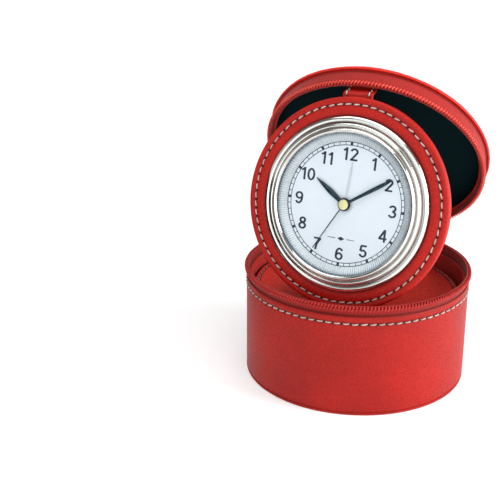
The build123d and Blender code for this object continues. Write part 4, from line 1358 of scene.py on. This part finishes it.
# ---------------------------------------------------------------- zip slider and its pull
pull_axis = Vector(joints["zip_pull_lift"]["pos_m"])
slider_angle = atan2(pull_axis.y, pull_axis.x)
slider_rest = Matrix.Rotation(slider_angle, 4, "Z")
pull_rest = Matrix.Translation(pull_axis) @ slider_rest
BAIL_R = pull_axis.xy.length / MM


def curved_plate(name, inner, outer, low, high, half_arc, nose):
    """Slider plate, bent round the case: full height in the middle and narrow at both mouths, edges rounded."""
    rows = []
    for part in np.linspace(-1, 1, 25):
        angle = half_arc * part
        shrink = nose * abs(part) ** 3
        bottom, top = low + shrink, high - shrink
        soft = 0.22
        rim = 1 - 0.35 * abs(part) ** 8
        middle, half = (inner + outer) / 2, (outer - inner) / 2 * rim
        section = [
            (middle - half, bottom + soft), (middle - half + soft, bottom), (middle + half - soft, bottom),
            (middle + half, bottom + soft), (middle + half, top - soft), (middle + half - soft, top),
            (middle - half + soft, top), (middle - half, top - soft),
        ]
        rows.append([(radius * cos(angle), radius * sin(angle), height) for radius, height in section])
    return skin(name, np.array(rows), wrap=False)


def slider():
    _, _, low, high = drawn("zip_slider", slider_rest)
    parts = [
        curved_plate("slider_outer", coil_out + 0.2, coil_out + 1.1, low, high, radians(6), 1.1),
        curved_plate(
            "slider_inner", tape_in - 1.0, tape_in - 0.15, low, min(high, mouth + 2.9), radians(6), 0.8
        ),
        curved_plate("slider_web", tape_in - 0.6, coil_out + 0.6, mouth - 0.2, mouth + 0.2, radians(3), 0.0),
    ]
    arch = [
        (coil_out + 0.7, -3.2), (BAIL_R - 0.9, -3.1), (BAIL_R - 0.1, -2.7), (BAIL_R, -1.5),
        (BAIL_R, 1.5), (BAIL_R - 0.1, 2.7), (BAIL_R - 0.9, 3.1), (coil_out + 0.7, 3.2),
    ]
    curve = on_curve([Vector((reach, side, mouth)) for reach, side in arch], 5)
    parts.append(repeated("slider_bail", tube([tuple(point) for point in curve], 1.05, 12), ONCE))
    for part in parts:
        place(part, "zip_slider", "nickel", nickel, slider_rest)
    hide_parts("zip_slider")


def pull_tab():
    """Tapered tab, an outline with a large round hole and a drop-shaped slot, bevelled, and a rolled eye."""
    inverse = pull_rest.inverted()
    spots = [inverse @ vertex.co / MM for vertex in frame["nodes"]["zip_pull"].data.vertices]
    end = min(spot.z for spot in spots)
    end_r = 4.2
    thick = 1.3
    curve = bpy.data.curves.new("pull_tab", "CURVE")
    curve.dimensions = "2D"
    curve.fill_mode = "BOTH"
    curve.extrude = (thick / 2 - 0.25) * MM
    curve.bevel_depth = 0.25 * MM
    curve.bevel_resolution = 3
    turn = [pi + pi * part / 24 for part in range(25)]
    rim = [((end_r - 0.25) * cos(angle), end + end_r + (end_r - 0.25) * sin(angle)) for angle in turn]
    edge = [(2.95, -4.1), (1.55, -1.0), (-1.55, -1.0), (-2.95, -4.1)]
    hole = [
        (2.75 * cos(-angle), end + end_r + 0.2 + 2.75 * sin(-angle)) for angle in np.linspace(0, TURN, 36)[:-1]
    ]
    drop = [(1.15 * cos(-angle), -6.0 + 1.15 * sin(-angle)) for angle in np.linspace(-0.6, pi + 0.6, 18)]
    drop += [(-0.62, -3.3), (0.62, -3.3)]
    for points in (rim + edge, hole, drop):
        line = curve.splines.new("POLY")
        line.points.add(len(points) - 1)
        line.points.foreach_set("co", [value for x, y in points for value in (x * MM, y * MM, 0, 1)])
        line.use_cyclic_u = True
    tab = as_mesh("pull_tab", curve)
    stand = Matrix(((0, 0, 1, 0), (1, 0, 0, 0), (0, 1, 0, 0), (0, 0, 0, 1)))
    tab.data.transform(stand)
    place(tab, "zip_pull", "nickel", nickel, pull_rest, ["zip_pull"])
    line = outline((0.68, -1.8, 0.1), (1.35, -1.8, 0.2), (1.35, 1.8, 0.2), (0.68, 1.8, 0.1), step=0.3)
    eye = skin("pull_eye", *turned(line, 48))
    eye.data.transform(Matrix.Rotation(pi / 2, 4, "X"))
    place(eye, "zip_pull", "nickel", nickel, pull_rest)


def as_mesh(name, curve):
    """Object with the mesh that a curve makes."""
    source = linked(name + "_curve", curve)
    bpy.context.view_layer.update()
    graph = bpy.context.evaluated_depsgraph_get()
    mesh = bpy.data.meshes.new_from_object(source.evaluated_get(graph))
    mesh.name = name
    bpy.data.objects.remove(source)
    return flat(cleaned(name, mesh))


slider()
pull_tab()

# ---------------------------------------------------------------- CAD nodes that keep their own shape
slots = {part["node"]: part["material_slot"] for part in frame["record"]["subparts"]}
for name, cad_node in frame["nodes"].items():
    cad_node.data.materials.clear()
    cad_node.data.materials.append(finishes[slots[name]])

# ---------------------------------------------------------------- floor, light and camera
STAGE_MIDDLE = (0, 0, 0.06)     # what the lights look at, in metres


def area_light(name, spot, width, height, power):
    lamp = bpy.data.lights.new(name, "AREA")
    lamp.shape = "RECTANGLE"
    lamp.size, lamp.size_y = width, height
    lamp.energy = power
    made = linked(name, lamp)
    made.location = spot
    made.rotation_euler = (Vector(STAGE_MIDDLE) - Vector(spot)).to_track_quat("-Z", "Y").to_euler()


def sheet(name, corners, roughness, shine, low, high):
    """Flat sheet of a matt paper, on the stage only. Its corners are in metres."""
    mesh = bpy.data.meshes.new(name)
    mesh.from_pydata(corners, [], [(0, 1, 2, 3)])
    piece = linked(name, mesh)
    paper, tree, shader = material(name + "_paper", Roughness=roughness, Specular_IOR_Level=shine)
    feed(tree, shader.inputs["Base Color"], mixed(tree, noise(tree, here(tree), 900.0), low, high))
    piece.data.materials.append(paper)
    return piece, tree, shader


def dark_flag():
    """Black card to the left of the clock, seen only as a reflection in its polished and coated parts."""
    near, far, top = (-0.085, -0.130), (-0.215, 0.300), 0.095
    corners = [(*near, 0.001), (*far, 0.001), (*far, top), (*near, top)]
    flag, _, _ = sheet("dark_flag", corners, 1.0, 0.0, (0.002, 0.004, 0.005), (0.004, 0.007, 0.008))
    flag.visible_camera = False
    flag.visible_diffuse = False
    flag.visible_shadow = False


def studio():
    reach = 4.0
    corners = [(-reach, -reach, 0), (reach, -reach, 0), (reach, reach, 0), (-reach, reach, 0)]
    _, tree, shader = sheet("studio_floor", corners, 0.9, 0.1, (0.78, 0.78, 0.78), (0.84, 0.84, 0.84))
    # The floor glows, more the further from the middle: painted light that keeps the far floor white.
    far = node(tree, "VectorMath", {0: here(tree)}, operation="LENGTH").outputs["Value"]
    feed(tree, shader.inputs["Emission Strength"], scaled(tree, far, 0.25, 1.4, 0.22, 0.95))
    shader.inputs["Emission Color"].default_value = (1, 1, 1, 1)
    area_light("right_softbox", (0.62, 0.02, 0.26), 0.34, 0.50, 5.2)
    area_light("top_softbox", (-0.05, -0.10, 0.95), 0.9, 0.9, 8.0)
    area_light("front_panel", (0.35, -1.15, 0.60), 2.2, 1.2, 9.0)
    dark_flag()
    world = bpy.data.worlds.new("studio_air")
    world.use_nodes = True
    sky = world.node_tree
    rise = node(sky, "SeparateXYZ", {0: node(sky, "TexCoord").outputs["Generated"]}).outputs[2]
    sky.links.new(scaled(sky, rise, 0.12, 0.50, 0.90, 0.12), sky.nodes["Background"].inputs["Strength"])
    sky.nodes["Background"].inputs["Color"].default_value = (1, 1, 1, 1)
    bpy.context.scene.world = world
    bpy.context.scene.view_settings.view_transform = "Standard"


def camera():
    lens = bpy.data.cameras.new("photo_camera")
    lens.lens = 75.13
    lens.sensor_width = 36
    made = bpy.data.objects.new("photo_camera", lens)
    made.location = (0.1040, -0.3935, 0.2053)
    made.rotation_euler = (radians(69.24), 0, radians(21.1))
    bpy.context.scene.collection.objects.link(made)
    bpy.context.scene.camera = made


studio()
camera()
